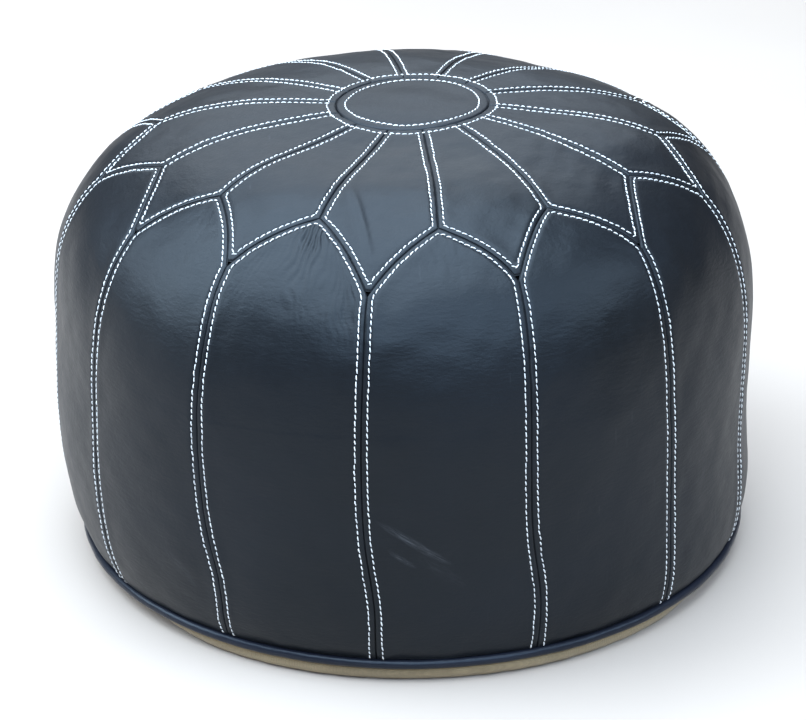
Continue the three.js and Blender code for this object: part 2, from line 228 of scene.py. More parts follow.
def gridFaces(rows, columns, closeRows=False, closeColumns=False):
    index = np.arange(rows * columns).reshape(rows, columns)
    if closeRows:
        index = np.vstack([index, index[:1]])
    if closeColumns:
        index = np.hstack([index, index[:, :1]])
    quads = np.stack([index[:-1, :-1], index[1:, :-1], index[1:, 1:], index[:-1, 1:]], axis=-1)
    return quads.reshape(-1, 4)


def shellFaces(rows, columns):  # two grids, outer then inner, closed round their rim
    front = gridFaces(rows, columns)
    back = front[:, ::-1] + rows * columns
    index = np.arange(rows * columns).reshape(rows, columns)
    rim = np.concatenate([index[0, :-1], index[:-1, -1], index[-1, :0:-1], index[:0:-1, 0]])
    after = np.roll(rim, -1)
    skirt = np.stack([rim, rim + rows * columns, after + rows * columns, after], axis=-1)
    return np.vstack([front, back, skirt])


def faceOutwards(piece):
    work = bmesh.new()
    work.from_mesh(piece.data)
    bmesh.ops.recalc_face_normals(work, faces=work.faces)
    work.to_mesh(piece.data)
    work.free()
    return piece


def claim(piece, node, bodyName="pouf"):  # its body and the node it stands for
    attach(piece, bodyName)
    if node:
        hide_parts(node)
    return piece


def linked(name, data):
    piece = bpy.data.objects.new(name, data)
    scene.collection.objects.link(piece)
    return piece


print("helpers ready")


def bend(table, at):  # straight between the rows of a short table of (place, value)
    places, values = np.array(table).T
    return np.interp(at, places, values)


panel = {
    "gap": 0.2 * mm,  # between the turned edges of two pieces
    "mesh": 3.2 * mm,
    "fineMesh": 1.4 * mm,
    "petalCrown": 2.0 * mm,
    "roll": [  # distance from the seam and lift, mm: turned edge, raised band, stitches, open leather
        (0, -1.7), (0.2, -0.75), (0.45, -0.1), (0.8, 0.15), (1.5, 0.3), (2.5, 0.36), (3.2, 0.25),
        (3.8, 0.02), (4.2, 0.0), (4.7, 0.2), (5.6, 0.42), (7.5, 0.38), (10, 0.2), (14, 0.04), (17, 0),
    ],
    "steps": np.array([0, 0.2, 0.45, 0.8, 1.5, 2.5, 3.2, 3.75, 4.2, 4.7, 5.6, 7.2]) * mm,
    "hemSteps": np.array([0, 0.7, 1.5, 3, 5, 8]) * mm,
    "hemTuck": 0.9 * mm,
    "ringReach": 1.65,  # the stitches round the disc stand this much further from their seam
    "loose": (0.24 * mm, 0.12 * mm),  # broad and narrow waves of the open leather
    "looseFrom": 12 * mm,
    "pucker": 0.13 * mm,  # beside the seams
    "puckerReach": 5 * mm,
    "hemReach": 9 * mm,
    "hemGather": 0.20 * mm,
}
gathers = {  # short pleats that fan out below the points of the arches
    "strength": {14: 1.0, 1: 0.45, 2: 0.2, 13: 0.3, 3: 0.15, 5: 0.45, 7: 0.3, 9: 0.6, 11: 0.35},
    "elsewhere": 0.1,
    "depth": 1.25 * mm,
    "pitch": 3.9 * mm,
    "fan": 70 * mm,
    "aside": 6 * mm,
    "wide": 29 * mm,
    "long": 42 * mm,
}
fold = {  # a soft fold beside the left arch of one petal, its place counted up from the arch
    "petal": 14,
    "aside": -10 * mm,
    "up": 30 * mm,
    "lean": 0.89,
    "wide": 5.5 * mm,
    "middle": 29 * mm,
    "long": 15 * mm,
    "height": 1.3 * mm,
    "clear": 9 * mm,
}


def makePanel(kind, number):
    centre = 2 * halfAngle * (number - 1) + (halfAngle if kind == "petal" else 0)
    pinch = gathers["strength"].get(number, gathers["elsewhere"]) if kind == "side" else 0
    return {"kind": kind, "number": number, "centre": centre, "pinch": pinch, "crown": None}


sides = [makePanel("side", number) for number in range(1, body["panels"] + 1)]
petals = [makePanel("petal", number) for number in range(1, body["panels"] + 1)]


def archAcross(kind, u):
    return np.abs(u) if kind == "side" else 1 - np.abs(u)


def panelEnds(kind, u):
    arch = archLength(np.clip(archAcross(kind, u), 0, 1))
    if kind == "side":
        return arch, np.full_like(arch, hemLength)
    return np.full_like(arch, discLength), arch


def sampleCrown(grid, u, v):
    rows, columns = grid.shape
    across = np.clip((u + 1) / 2, 0, 1) * (columns - 1)
    along = np.clip(v, 0, 1) * (rows - 1)
    i = np.clip(along.astype(int), 0, rows - 2)
    j = np.clip(across.astype(int), 0, columns - 2)
    a, b = along - i, across - j
    top = grid[i, j] * (1 - b) + grid[i, j + 1] * b
    low = grid[i + 1, j] * (1 - b) + grid[i + 1, j + 1] * b
    return top * (1 - a) + low * a


def foldLift(x, up, away):
    beside = (x - fold["aside"] + fold["lean"] * (up - fold["up"])) / fold["wide"]
    height = np.exp(-(beside**2) - ((up - fold["middle"]) / fold["long"]) ** 2)
    return fold["height"] * height * np.clip(away / fold["clear"], 0, 1)


def gatherLift(piece, x, y, flat, away):
    fan = x / (1 + y / gathers["fan"]) + 1.2 * mm * np.sin(y / (9 * mm) + 2 * piece["number"])
    fan = fan + 0.9 * mm * waves(flat * [1, 1, 0.5], 0.018, 15)
    ripple = 1.3 * np.abs(np.sin(math.pi * fan / gathers["pitch"] + 0.4)) - 0.8
    ripple = ripple * (0.75 + 0.5 * np.sin(x / (6 * mm) + piece["number"]))
    fade = np.exp(-(((x - gathers["aside"]) / gathers["wide"]) ** 2) - (y / gathers["long"]) ** 2)
    fade = fade * np.clip((away - 3 * mm) / (4 * mm), 0, 1)
    return piece["pinch"] * gathers["depth"] * ripple * fade


def panelLift(piece, angle, length):  # how far the leather stands off the body, and the seam's distance
    kind = piece["kind"]
    radius = radiusAt(length)
    u = (angle - piece["centre"]) / halfAngle
    x = u * halfAngle * radius
    first, last = panelEnds(kind, u)
    v = np.clip((length - first) / (last - first), 0, 1)
    steep = archSteepness(np.clip(archAcross(kind, u), 0, 1))
    sideways = np.clip((1 - np.abs(u)) * halfAngle * radius, 0, None)
    arch = np.clip(length - first if kind == "side" else last - length, 0, None) * steep
    away = np.minimum(sideways, arch)
    if kind == "petal":
        away = np.minimum(away, np.clip(length - first, 0, None) / panel["ringReach"])
    lift = bend(panel["roll"], away / mm) * mm
    if piece["crown"] is None:
        crown = body["sideCrown"] if kind == "side" else panel["petalCrown"]
        lift = lift + crown * (1 - u**2) * (1 - (2 * v - 1) ** 4)
    else:
        lift = lift + sampleCrown(piece["crown"], u, v)
    flat = aroundZ(angle, radius, length)
    broad, narrow = panel["loose"]
    loose = np.clip(away / panel["looseFrom"], 0, 1)
    lift = lift + loose * (broad * waves(flat, 0.07, 11) + narrow * waves(flat, 0.028, 12))
    near = np.exp(-away / panel["puckerReach"])
    lift = lift + near * panel["pucker"] * waves(flat, 0.011, 13)
    if kind == "side":
        hem = np.clip((hemLength - length) / panel["hemReach"], 0, 1)
        lift = lift - panel["hemTuck"] * (1 - hem) ** 2
        drawn = panel["hemGather"] * waves(flat * [1, 1, 0.15], 0.02, 14)
        lift = lift + drawn * (1 - hem) * hem * 4
        lift = lift + gatherLift(piece, x, np.clip(length - first, 0, None), flat, away)
    elif piece["number"] == fold["petal"]:
        lift = lift + foldLift(x, last - length, away)
    return lift, away


def panelPlaces(piece, step):  # angle and length of the mesh's points, close together by the seams
    kind = piece["kind"]
    edge = panel["steps"]
    widest = 2 * halfAngle * (seamRadius if kind == "side" else seamRadius - body["peakInset"])
    across = max(6, int(round((widest - 2 * edge[-1]) / step)))
    inner = np.linspace(0, 1, across + 2)[1:-1]
    tall = (hemLength - peakLength) if kind == "side" else (tipLength - discLength)
    start = edge if kind == "side" else edge * panel["ringReach"]
    end = panel["hemSteps"] if kind == "side" else edge
    along = max(8, int(round((tall - start[-1] - end[-1]) / step)))
    between = np.linspace(0, 1, along + 2)[1:-1]
    rows = len(start) + along + len(end)
    columns = 2 * len(edge) + across
    fixed = np.concatenate([edge, edge[-1] * (1 - 2 * inner), -edge[::-1]])
    shared = np.concatenate([0 * edge, inner, 0 * edge + 1])
    length = np.tile(np.linspace(discLength, hemLength, rows)[:, None], (1, columns))
    for _ in range(5):  # the width follows the length and the length follows the arch
        radius = radiusAt(length)
        place = fixed + shared * (2 * halfAngle * radius - panel["gap"]) + panel["gap"] / 2
        angle = place / radius - halfAngle
        u = np.clip(angle[0 if kind == "side" else -1] / halfAngle, -1, 1)
        first, last = panelEnds(kind, u)
        slant = 1 / archSteepness(archAcross(kind, u))
        if kind == "side":
            first = first + panel["gap"] / 2 * slant
            head, tail = start[:, None] * slant, np.tile(end[:, None], (1, columns))
        else:
            first = first + panel["gap"] / 2
            last = last - panel["gap"] / 2 * slant
            head, tail = np.tile(start[:, None], (1, columns)), end[:, None] * slant
        middle = first + head[-1] + (last - tail[-1] - first - head[-1]) * between[:, None]
        length = np.concatenate([first + head, middle, last - tail[::-1]], axis=0)
    return angle + piece["centre"], length


stuffing = {
    "rows": 28,
    "columns": 15,
    "frames": 18,
    "pressure": 2.5,
    "slack": 0.035,  # how much wider the loosest leather is than its place
    "fullness": 0.62,  # mean height over a panel, as a share of the crown's height
    "most": 7 * mm,
    "least": -0.5 * mm,
}


def stuffPanels(pieces):  # air pressure under the pinned panels shows how each one fills
    rows, columns = stuffing["rows"], stuffing["columns"]
    points, faces, pins, growth, normals = [], [], [], [], []
    rng = np.random.default_rng(21)
    for piece in pieces:
        u = np.tile(np.linspace(-1, 1, columns), (rows, 1))
        first, last = panelEnds(piece["kind"], u[0])
        length = first + (last - first) * np.linspace(0, 1, rows)[:, None]
        angle = piece["centre"] + u * halfAngle * 0.999
        z = np.interp(length, bodyLength, bodyZ)
        faces.append(gridFaces(rows, columns) + len(points) * rows * columns)
        points.append(aroundZ(angle, radiusAt(length), z).reshape(-1, 3))
        normals.append(bodyNormal(angle, length).reshape(-1, 3))
        border = np.zeros((rows, columns), bool)
        border[[0, -1]] = True
        border[:, [0, -1]] = True
        pins.append(border.ravel())
        spare = rng.uniform(0.35, 1) * np.ones((rows, columns))
        slack = 0.25 * waves(points[-1].reshape(rows, columns, 3), 0.09, 31)
        growth.append(np.clip(spare + slack, 0, 1).ravel())
    points, normals = np.vstack(points), np.vstack(normals)
    cloth = newObject("stuffing_trial", points, np.vstack(faces), None)
    pinGroup = cloth.vertex_groups.new(name="pins")
    pinGroup.add(np.flatnonzero(np.concatenate(pins)).tolist(), 1.0, "REPLACE")
    slackGroup = cloth.vertex_groups.new(name="slack")
    for index, value in enumerate(np.concatenate(growth)):
        slackGroup.add([index], float(value), "REPLACE")
    modifier = cloth.modifiers.new("Cloth", "CLOTH")
    settings = modifier.settings
    settings.quality = 6
    settings.mass = 0.4
    settings.tension_stiffness = 25
    settings.compression_stiffness = 25
    settings.shear_stiffness = 12
    settings.bending_stiffness = 1.5
    settings.air_damping = 2
    settings.vertex_group_mass = "pins"
    settings.vertex_group_shrink = "slack"
    settings.shrink_min = 0.0
    settings.shrink_max = -stuffing["slack"]
    settings.use_pressure = True
    settings.uniform_pressure_force = stuffing["pressure"]
    settings.effector_weights.gravity = 0
    modifier.collision_settings.use_collision = False
    modifier.point_cache.frame_start = 1
    modifier.point_cache.frame_end = stuffing["frames"]
    for step in range(1, stuffing["frames"] + 1):
        scene.frame_set(step)
    shape = cloth.evaluated_get(bpy.context.evaluated_depsgraph_get())
    settled = np.empty(len(points) * 3, np.float32)
    shape.data.vertices.foreach_get("co", settled)
    risen = ((settled.reshape(-1, 3) - points) * normals).sum(axis=1).reshape(len(pieces), rows, columns)
    scene.frame_set(1)
    bpy.data.objects.remove(cloth)
    for piece, rise in zip(pieces, risen):
        wanted = body["sideCrown"] if piece["kind"] == "side" else panel["petalCrown"]
        scale = stuffing["fullness"] * wanted / max(float(rise.mean()), 0.2 * mm)
        piece["crown"] = np.clip(rise * scale, stuffing["least"], stuffing["most"])
        print("stuffed", piece["kind"], piece["number"], "mean", round(float(rise.mean()) / mm, 2), "mm")


stuffPanels(sides + petals)


def addNode(owner, kind, inputs=None, **settings):  # owner is a material or a node tree
    tree = getattr(owner, "node_tree", owner)
    node = tree.nodes.new(kind)
    for key, value in settings.items():
        setattr(node, key, value)
    for key, value in (inputs or {}).items():
        if isinstance(value, bpy.types.NodeSocket):
            tree.links.new(value, node.inputs[key])
        else:
            node.inputs[key].default_value = value
    return node


def pathTree(name, sizes):  # a Geometry Nodes tree with its inputs, for things repeated along a path
    tree = bpy.data.node_groups.new(name, "GeometryNodeTree")
    face = tree.interface
    face.new_socket("Geometry", in_out="INPUT", socket_type="NodeSocketGeometry")
    for label, value in sizes.items():
        face.new_socket(label, in_out="INPUT", socket_type="NodeSocketFloat").default_value = value
    face.new_socket("Seed", in_out="INPUT", socket_type="NodeSocketInt").default_value = 4
    face.new_socket("Material", in_out="INPUT", socket_type="NodeSocketMaterial")
    face.new_socket("Geometry", in_out="OUTPUT", socket_type="NodeSocketGeometry")
    given = addNode(tree, "NodeGroupInput").outputs
    path = addNode(tree, "GeometryNodeMeshToCurve", {"Mesh": given["Geometry"]}).outputs[0]
    spacing = {"Curve": path, "Length": given["Pitch"]}
    even = addNode(tree, "GeometryNodeResampleCurve", spacing, mode="LENGTH").outputs[0]
    return tree, given, even


def closeTree(tree, geometry, given):
    real = addNode(tree, "GeometryNodeRealizeInstances", {"Geometry": geometry}).outputs[0]
    smooth = addNode(tree, "GeometryNodeSetShadeSmooth", {"Geometry": real}).outputs[0]
    paint = {"Geometry": smooth, "Material": given["Material"]}
    painted = addNode(tree, "GeometryNodeSetMaterial", paint).outputs[0]
    addNode(tree, "NodeGroupOutput", {"Geometry": painted})
    return tree


def newMaterial(name):
    material = bpy.data.materials.new(name)
    material.use_nodes = True
    material.node_tree.nodes.clear()
    return material


def finishMaterial(material, shader):
    output = addNode(material, "ShaderNodeOutputMaterial")
    material.node_tree.links.new(shader.outputs["BSDF"], output.inputs["Surface"])
    return material


def ramp(material, factor, stops):
    node = addNode(material, "ShaderNodeValToRGB", {"Fac": factor})
    elements = node.color_ramp.elements
    while len(elements) < len(stops):
        elements.new(0.5)
    for element, (place, colour) in zip(elements, stops):
        element.position = place
        element.color = (*colour, 1)
    return node.outputs["Color"]


def remap(material, value, low, high, toLow, toHigh):
    inputs = {"Value": value, "From Min": low, "From Max": high, "To Min": toLow, "To Max": toHigh}
    return addNode(material, "ShaderNodeMapRange", inputs).outputs["Result"]


def combine(material, how, first, second):
    return addNode(material, "ShaderNodeMath", {0: first, 1: second}, operation=how).outputs["Value"]


def noise(material, where, scale, detail=3.0, rough=0.5):
    inputs = {"Vector": where, "Scale": scale, "Detail": detail, "Roughness": rough}
    return addNode(material, "ShaderNodeTexNoise", inputs).outputs["Fac"]


def stretched(material, where, scale, turned=(0.0, 0.0, 0.0)):
    inputs = {"Vector": where, "Rotation": turned, "Scale": scale}
    return addNode(material, "ShaderNodeMapping", inputs).outputs["Vector"]


def bumped(material, height, strength, distance, normal=None):
    inputs = {"Height": height, "Strength": strength, "Distance": distance}
    if normal:
        inputs["Normal"] = normal
    return addNode(material, "ShaderNodeBump", inputs).outputs["Normal"]


def scaled(colour, amount):
    return tuple(amount * part for part in colour)


def blendColours(material, factor, first, second, how="MIX"):
    node = addNode(material, "ShaderNodeMix", {"Factor": factor}, data_type="RGBA", blend_type=how)
    for socket, value in ((node.inputs[6], first), (node.inputs[7], second)):
        if isinstance(value, bpy.types.NodeSocket):
            material.node_tree.links.new(value, socket)
        else:
            socket.default_value = (*value, 1)
    return node.outputs[2]


leather = {
    "dark": (0.0038, 0.0044, 0.0058),
    "light": (0.0064, 0.0075, 0.0102),
    "scuffed": (0.075, 0.080, 0.092),
    "roughness": (0.37, 0.50),
    "specular": 0.255,
    "sheenTint": (0.70, 0.85, 1.0),
    "marks": [  # place, turn, size and strength of each scrape
        ((-0.031, -0.268, 0.1185), 0.60, (0.034, 0.03, 0.0036), 0.62),
        ((-0.040, -0.268, 0.1065), 0.62, (0.013, 0.03, 0.0024), 0.45),
        ((-0.012, -0.268, 0.096), 0.66, (0.026, 0.03, 0.0060), 0.10),
        ((-0.190, -0.180, 0.070), 0.90, (0.022, 0.04, 0.0050), 0.20),
    ],
    "pebble": 1.5 * mm,
    "pebbleDepth": 0.10 * mm,
    "creaseDepth": 0.35 * mm,
    "drawnDepth": 0.33 * mm,  # fine level wrinkles where the leather is drawn over the shoulder
}


def leatherMaterial(name, dark, light, roughness, pebbleDepth):
    material = newMaterial(name)
    where = addNode(material, "ShaderNodeTexCoord").outputs["Object"]
    seam = addNode(material, "ShaderNodeAttribute", attribute_name="seam").outputs["Fac"]
    cloud = noise(material, where, 7, 4)
    speckle = noise(material, where, 160, 4, 0.65)
    dye = ramp(material, cloud, [(0.35, dark), (0.68, light)])
    dye = blendColours(material, remap(material, speckle, 0.35, 0.75, 0, 0.35), dye, light)
    rubbed = remap(material, seam, 0.4 * mm, 5 * mm, 0.30, 0.0)
    worn = remap(material, noise(material, where, 45, 3), 0.45, 0.7, 0, 1)
    dye = blendColours(material, combine(material, "MULTIPLY", rubbed, worn), dye, scaled(light, 2.3))
    scratchAt = stretched(material, where, (260, 60, 26), (0.0, 0.55, 0.3))
    scratch = remap(material, noise(material, scratchAt, 1.0, 2, 0.4), 0.70, 0.78, 0, 1)
    patch = remap(material, noise(material, where, 5.5, 1), 0.56, 0.68, 0, 0.5)
    scratch = combine(material, "MULTIPLY", scratch, patch)
    dye = blendColours(material, combine(material, "MULTIPLY", scratch, 0.35), dye, leather["scuffed"])
    for place, turned, size, amount in leather["marks"]:
        inputs = {"Vector": where, "Location": place, "Rotation": (0.0, turned, 0.0), "Scale": size}
        local = addNode(material, "ShaderNodeMapping", inputs, vector_type="TEXTURE").outputs["Vector"]
        spot = addNode(material, "ShaderNodeTexGradient", {"Vector": local}, gradient_type="SPHERICAL")
        spot = spot.outputs["Fac"]
        streaks = stretched(material, local, (1.1, 0.3, 2.6))
        streaks = remap(material, noise(material, streaks, 2.2, 4, 0.65), 0.42, 0.66, 0, amount)
        spot = combine(material, "MULTIPLY", remap(material, spot, 0.0, 0.55, 0, 1), streaks)
        dye = blendColours(material, spot, dye, leather["scuffed"])
    pebbleWhere = blendColours(material, 0.0006, where, noise(material, where, 300, 2), "ADD")
    cells = {"Vector": pebbleWhere, "Scale": 1 / leather["pebble"], "Smoothness": 0.6}
    pebble = addNode(material, "ShaderNodeTexVoronoi", cells, feature="SMOOTH_F1").outputs["Distance"]
    pores = noise(material, where, 1500, 2, 0.6)
    cracks = {"Vector": pebbleWhere, "Scale": 150.0}
    wrinkle = addNode(material, "ShaderNodeTexVoronoi", cracks, feature="DISTANCE_TO_EDGE")
    wrinkle = remap(material, wrinkle.outputs["Distance"], 0.0, 0.12, 0, 1)
    wrinkled = remap(material, noise(material, where, 12, 2), 0.42, 0.7, 0.1, 0.8)
    level = noise(material, stretched(material, where, (0.35, 0.35, 1.0)), 420, 3, 0.55)
    height = combine(material, "MULTIPLY", pebble, -0.6)
    height = combine(material, "ADD", height, combine(material, "MULTIPLY", pores, 0.25))
    height = combine(material, "ADD", height, combine(material, "MULTIPLY", wrinkle, wrinkled))
    height = combine(material, "ADD", height, combine(material, "MULTIPLY", scratch, -1.2))
    grain = bumped(material, height, 0.6, pebbleDepth)
    drawn = bumped(material, level, 0.8, leather["drawnDepth"], grain)
    soft = bumped(material, noise(material, where, 55, 3), 0.5, leather["creaseDepth"], drawn)
    uneven = combine(material, "ADD", cloud, combine(material, "MULTIPLY", speckle, 0.5))
    shader = addNode(material, "ShaderNodeBsdfPrincipled", {
        "Base Color": dye,
        "Roughness": remap(material, uneven, 0.5, 1.0, *roughness),
        "Specular IOR Level": leather["specular"],
        "Specular Tint": (*leather["sheenTint"], 1),
        "Coat Weight": 0.06,
        "Coat Roughness": 0.28,
        "Normal": soft,
    })
    return finishMaterial(material, shader)


navyLeather = leatherMaterial(
    "navy leather", leather["dark"], leather["light"], leather["roughness"], leather["pebbleDepth"]
)
pipingLeather = leatherMaterial(
    "piping leather", piping["dark"], piping["light"], piping["roughness"], piping["pebbleDepth"]
)

thread = {
    "colour": (0.86, 0.88, 0.90),
    "shade": (0.62, 0.64, 0.67),
    "pitch": 4.65 * mm,
    "dash": 3.5 * mm,
    "thick": 0.92 * mm,
    "rise": 0.42 * mm,
    "wobble": 0.10,
    "slant": 0.14,
}


def threadMaterial(name, colour, shade, scale):
    material = newMaterial(name)
    where = addNode(material, "ShaderNodeTexCoord").outputs["Object"]
    fluff = noise(material, where, 1800 * scale, 3, 0.7)
    grime = noise(material, where, 40, 3)
    tint = ramp(material, grime, [(0.32, shade), (0.52, colour)])
    tint = blendColours(material, remap(material, fluff, 0.3, 0.7, 0.0, 0.35), tint, shade)
    plies = {"Vector": where, "Scale": 900 * scale, "Distortion": 4.0, "Detail": 2.0}
    strands = addNode(
        material, "ShaderNodeTexWave", plies, wave_type="BANDS", bands_direction="DIAGONAL"
    ).outputs["Fac"]
    shader = addNode(material, "ShaderNodeBsdfPrincipled", {
        "Base Color": tint,
        "Roughness": remap(material, fluff, 0.3, 0.7, 0.7, 0.9),
        "Sheen Weight": 0.25,
        "Sheen Roughness": 0.5,
        "Specular IOR Level": 0.25,
        "Normal": bumped(material, combine(material, "ADD", strands, fluff), 0.7, 0.12 * mm),
    })
    return finishMaterial(material, shader)


cottonThread = threadMaterial("cotton thread", thread["colour"], thread["shade"], 1.0)
print("materials for leather and thread ready")


def panelPiece(piece):
    fine = (piece["kind"], piece["number"]) == ("side", 14)  # the deepest gathers are on this one
    angle, length = panelPlaces(piece, panel["fineMesh"] if fine else panel["mesh"])
    lift, away = panelLift(piece, angle, length)
    outer = onBody(angle, length, lift)
    inner = onBody(angle, length, lift - body["leather"])
    rows, columns = angle.shape
    points = np.concatenate([outer.reshape(-1, 3), inner.reshape(-1, 3)])
    name = "leather_%s_%02d" % (piece["kind"], piece["number"])
    seam = {"seam": np.tile(away.ravel(), 2)}
    made = newObject(name, points, shellFaces(rows, columns), navyLeather, seam)
    node = "side_panel_%02d" if piece["kind"] == "side" else "petal_%02d"
    claim(made, node % piece["number"])


for piece in sides + petals:
    panelPiece(piece)
print("side panels and petals ready")


def discLift(radius, angle):
    away = (discLength - radius) / panel["ringReach"]
    lift = bend(panel["roll"], np.clip(away, 0, None) / mm) * mm
    flat = aroundZ(angle, radius, 0 * radius)
    filled = np.clip(1 - (radius / body["disc"]) ** 2, 0, 1)
    return lift + body["discCrown"] * filled + 0.3 * mm * waves(flat, 0.05, 17) * filled, away


def discPiece():
    edge = panel["steps"] * panel["ringReach"]
    out = discLength - panel["gap"] / 2
    lengths = np.concatenate([np.linspace(2.5 * mm, out - edge[-1], 16)[:-1], out - edge[::-1]])
    angles = np.linspace(0, 2 * math.pi, 196, endpoint=False)
    angle, length = np.meshgrid(angles, lengths)
    lift, away = discLift(length, angle)
    outer, inner = onBody(angle, length, lift), onBody(angle, length, lift - body["leather"])
    rows, columns = angle.shape
    count = rows * columns
    front = gridFaces(rows, columns, closeColumns=True)
    back = front[:, ::-1] + count
    ring = np.arange(columns)
    after = np.roll(ring, -1)
    last = (rows - 1) * columns
    rim = np.stack([last + ring, last + ring + count, last + after + count, last + after], axis=-1)
    centre = onBody(np.zeros(1), np.zeros(1), np.full(1, body["discCrown"]))
    below = centre - [0, 0, body["leather"]]
    points = np.concatenate([outer.reshape(-1, 3), inner.reshape(-1, 3), centre, below])
    faces = front.tolist() + back.tolist() + rim.tolist()
    faces += [[2 * count, int(a), int(b)] for a, b in zip(ring, after)]
    faces += [[2 * count + 1, int(b) + count, int(a) + count] for a, b in zip(ring, after)]
    seam = np.concatenate([np.tile(away.ravel(), 2), [1, 1]])
    made = newObject("leather_disc", points, faces, navyLeather, {"seam": seam})
    claim(made, "top_disc")
    faceOutwards(made)


discPiece()
print("disc ready")


def stitchTree():
    labels = ("Pitch", "Dash", "Thick", "Rise", "Wobble", "Slant")
    sizes = {label: thread[label.lower()] for label in labels}
    tree, given, even = pathTree("hand stitches", sizes)

    def times(socket, factor):
        return addNode(tree, "ShaderNodeMath", {0: socket, 1: factor}, operation="MULTIPLY").outputs[0]

    def join(x=0.0, z=0.0):
        return addNode(tree, "ShaderNodeCombineXYZ", {"X": x, "Z": z}).outputs[0]

    def shaken(low, high):
        limits = {"Seed": given["Seed"], "Min": low, "Max": high}
        return addNode(tree, "FunctionNodeRandomValue", limits, data_type="FLOAT_VECTOR").outputs[0]

    def stray(most):
        inputs = {0: most, "Scale": given["Wobble"]}
        return addNode(tree, "ShaderNodeVectorMath", inputs, operation="SCALE").outputs[0]

    sunk = times(given["Thick"], -0.45)
    bow = {
        "Resolution": 5,
        "Start": join(times(given["Dash"], -0.5), sunk),
        "Middle": join(z=times(given["Rise"], 2.0)),
        "End": join(times(given["Dash"], 0.5), sunk),
    }
    arc = addNode(tree, "GeometryNodeCurveQuadraticBezier", bow).outputs[0]
    girth = {"Resolution": 6, "Radius": times(given["Thick"], 0.5)}
    ring = addNode(tree, "GeometryNodeCurvePrimitiveCircle", girth, mode="RADIUS").outputs[0]
    strand = {"Curve": arc, "Profile Curve": ring, "Fill Caps": True}
    stitch = addNode(tree, "GeometryNodeCurveToMesh", strand).outputs[0]
    tangent = addNode(tree, "GeometryNodeInputTangent").outputs[0]
    lean = addNode(tree, "GeometryNodeInputNamedAttribute", {"Name": "lean"}, data_type="FLOAT_VECTOR")
    along = addNode(tree, "FunctionNodeAlignRotationToVector", {"Vector": tangent}, axis="X").outputs[0]
    upright = addNode(
        tree, "FunctionNodeAlignRotationToVector", {"Rotation": along, "Vector": lean.outputs[0]},
        axis="Z", pivot_axis="X",
    ).outputs[0]
    shake = shaken(stray((-0.4, -0.3, -1.0)), stray((0.4, 0.3, 1.0)))
    askew = addNode(tree, "ShaderNodeVectorMath", {0: shake, 1: join(z=given["Slant"])}, operation="ADD")
    turned = {"Rotation": upright, "Rotate By": askew.outputs[0]}
    turned = addNode(tree, "FunctionNodeRotateRotation", turned, rotation_space="LOCAL").outputs[0]
    size = shaken((0.86, 0.88, 0.85), (1.12, 1.1, 1.15))
    each = {"Points": even, "Instance": stitch, "Rotation": turned, "Scale": size}
    return closeTree(tree, addNode(tree, "GeometryNodeInstanceOnPoints", each).outputs[0], given)


stitchNodes = stitchTree()


def grown(path, tree, wanted):  # the plain mesh that the nodes make along a path
    modifier = path.modifiers.new("nodes", "NODES")
    modifier.node_group = tree
    for item in tree.interface.items_tree:
        if item.in_out == "INPUT" and item.name in wanted:
            modifier[item.identifier] = wanted[item.name]
    mesh = bpy.data.meshes.new_from_object(path.evaluated_get(bpy.context.evaluated_depsgraph_get()))
    bpy.data.objects.remove(path)
    return mesh


def sew(name, runs, sizes=None):  # runs holds (points, normals) of each row of stitches
    points = np.vstack([run[0] for run in runs])
    edges, start = [], 0
    for run in runs:
        count = len(run[0])
        edges += [(start + i, start + i + 1) for i in range(count - 1)]
        start += count
    mesh = bpy.data.meshes.new(name + "_path")
    mesh.from_pydata(points.tolist(), edges, [])
    lean = mesh.attributes.new("lean", "FLOAT_VECTOR", "POINT")
    lean.data.foreach_set("vector", np.vstack([run[1] for run in runs]).astype(np.float32).ravel())
    path = linked(name + "_path", mesh)
    sewn = grown(path, stitchNodes, dict(sizes or {}, Material=cottonThread))
    if "lean" in sewn.attributes:
        sewn.attributes.remove(sewn.attributes["lean"])
    claim(linked(name, sewn), None)


def evenly(values, step):  # points along a path at an even spacing
    run = np.concatenate([[0], np.cumsum(np.linalg.norm(np.diff(values, axis=0), axis=1))])
    places = np.linspace(0, run[-1], max(3, int(run[-1] / step)))
    return np.stack([np.interp(places, run, values[:, k]) for k in range(values.shape[1])], axis=1)


def wobbly(angle, length, seed):  # hand sewing strays a little to each side
    rng = np.random.default_rng(seed)
    radius = radiusAt(length)
    for spread, size in ((9, 0.10 * mm), (30, 0.14 * mm)):
        kernel = np.hanning(spread)
        kernel /= np.sqrt((kernel**2).sum())
        length = length + np.convolve(rng.normal(size=len(angle)), kernel, "same") * size * 0.5
        angle = angle + np.convolve(rng.normal(size=len(angle)), kernel, "same") * size / radius
    return angle, length


def stitchRow(piece, angle, length, seed):
    angle, length = wobbly(angle, length, seed)
    lift = panelLift(piece, angle, length)[0]
    points = onBody(angle, length, np.maximum(lift, -0.15 * mm))
    return points, bodyNormal(*drift(angle, length))


sewing = {
    "side": 4.0 * mm,  # from the upright and radial seams
    "low": 4.8 * mm,  # from the upright seams at the hem
    "arch": 3.5 * mm,
    "hem": 2.5 * mm,  # where a side panel's row ends
    "ring": 6.9 * mm,  # where a petal's row ends
    "inDisc": 50 * mm,  # radius of the two rings of stitches
    "outDisc": 63.5 * mm,
    "sample": 0.6 * mm,
    "turn": 15,
}


def rowInset(length):
    low = np.clip((length - tipLength) / (hemLength - tipLength), 0, 1)
    return sewing["side"] + (sewing["low"] - sewing["side"]) * low


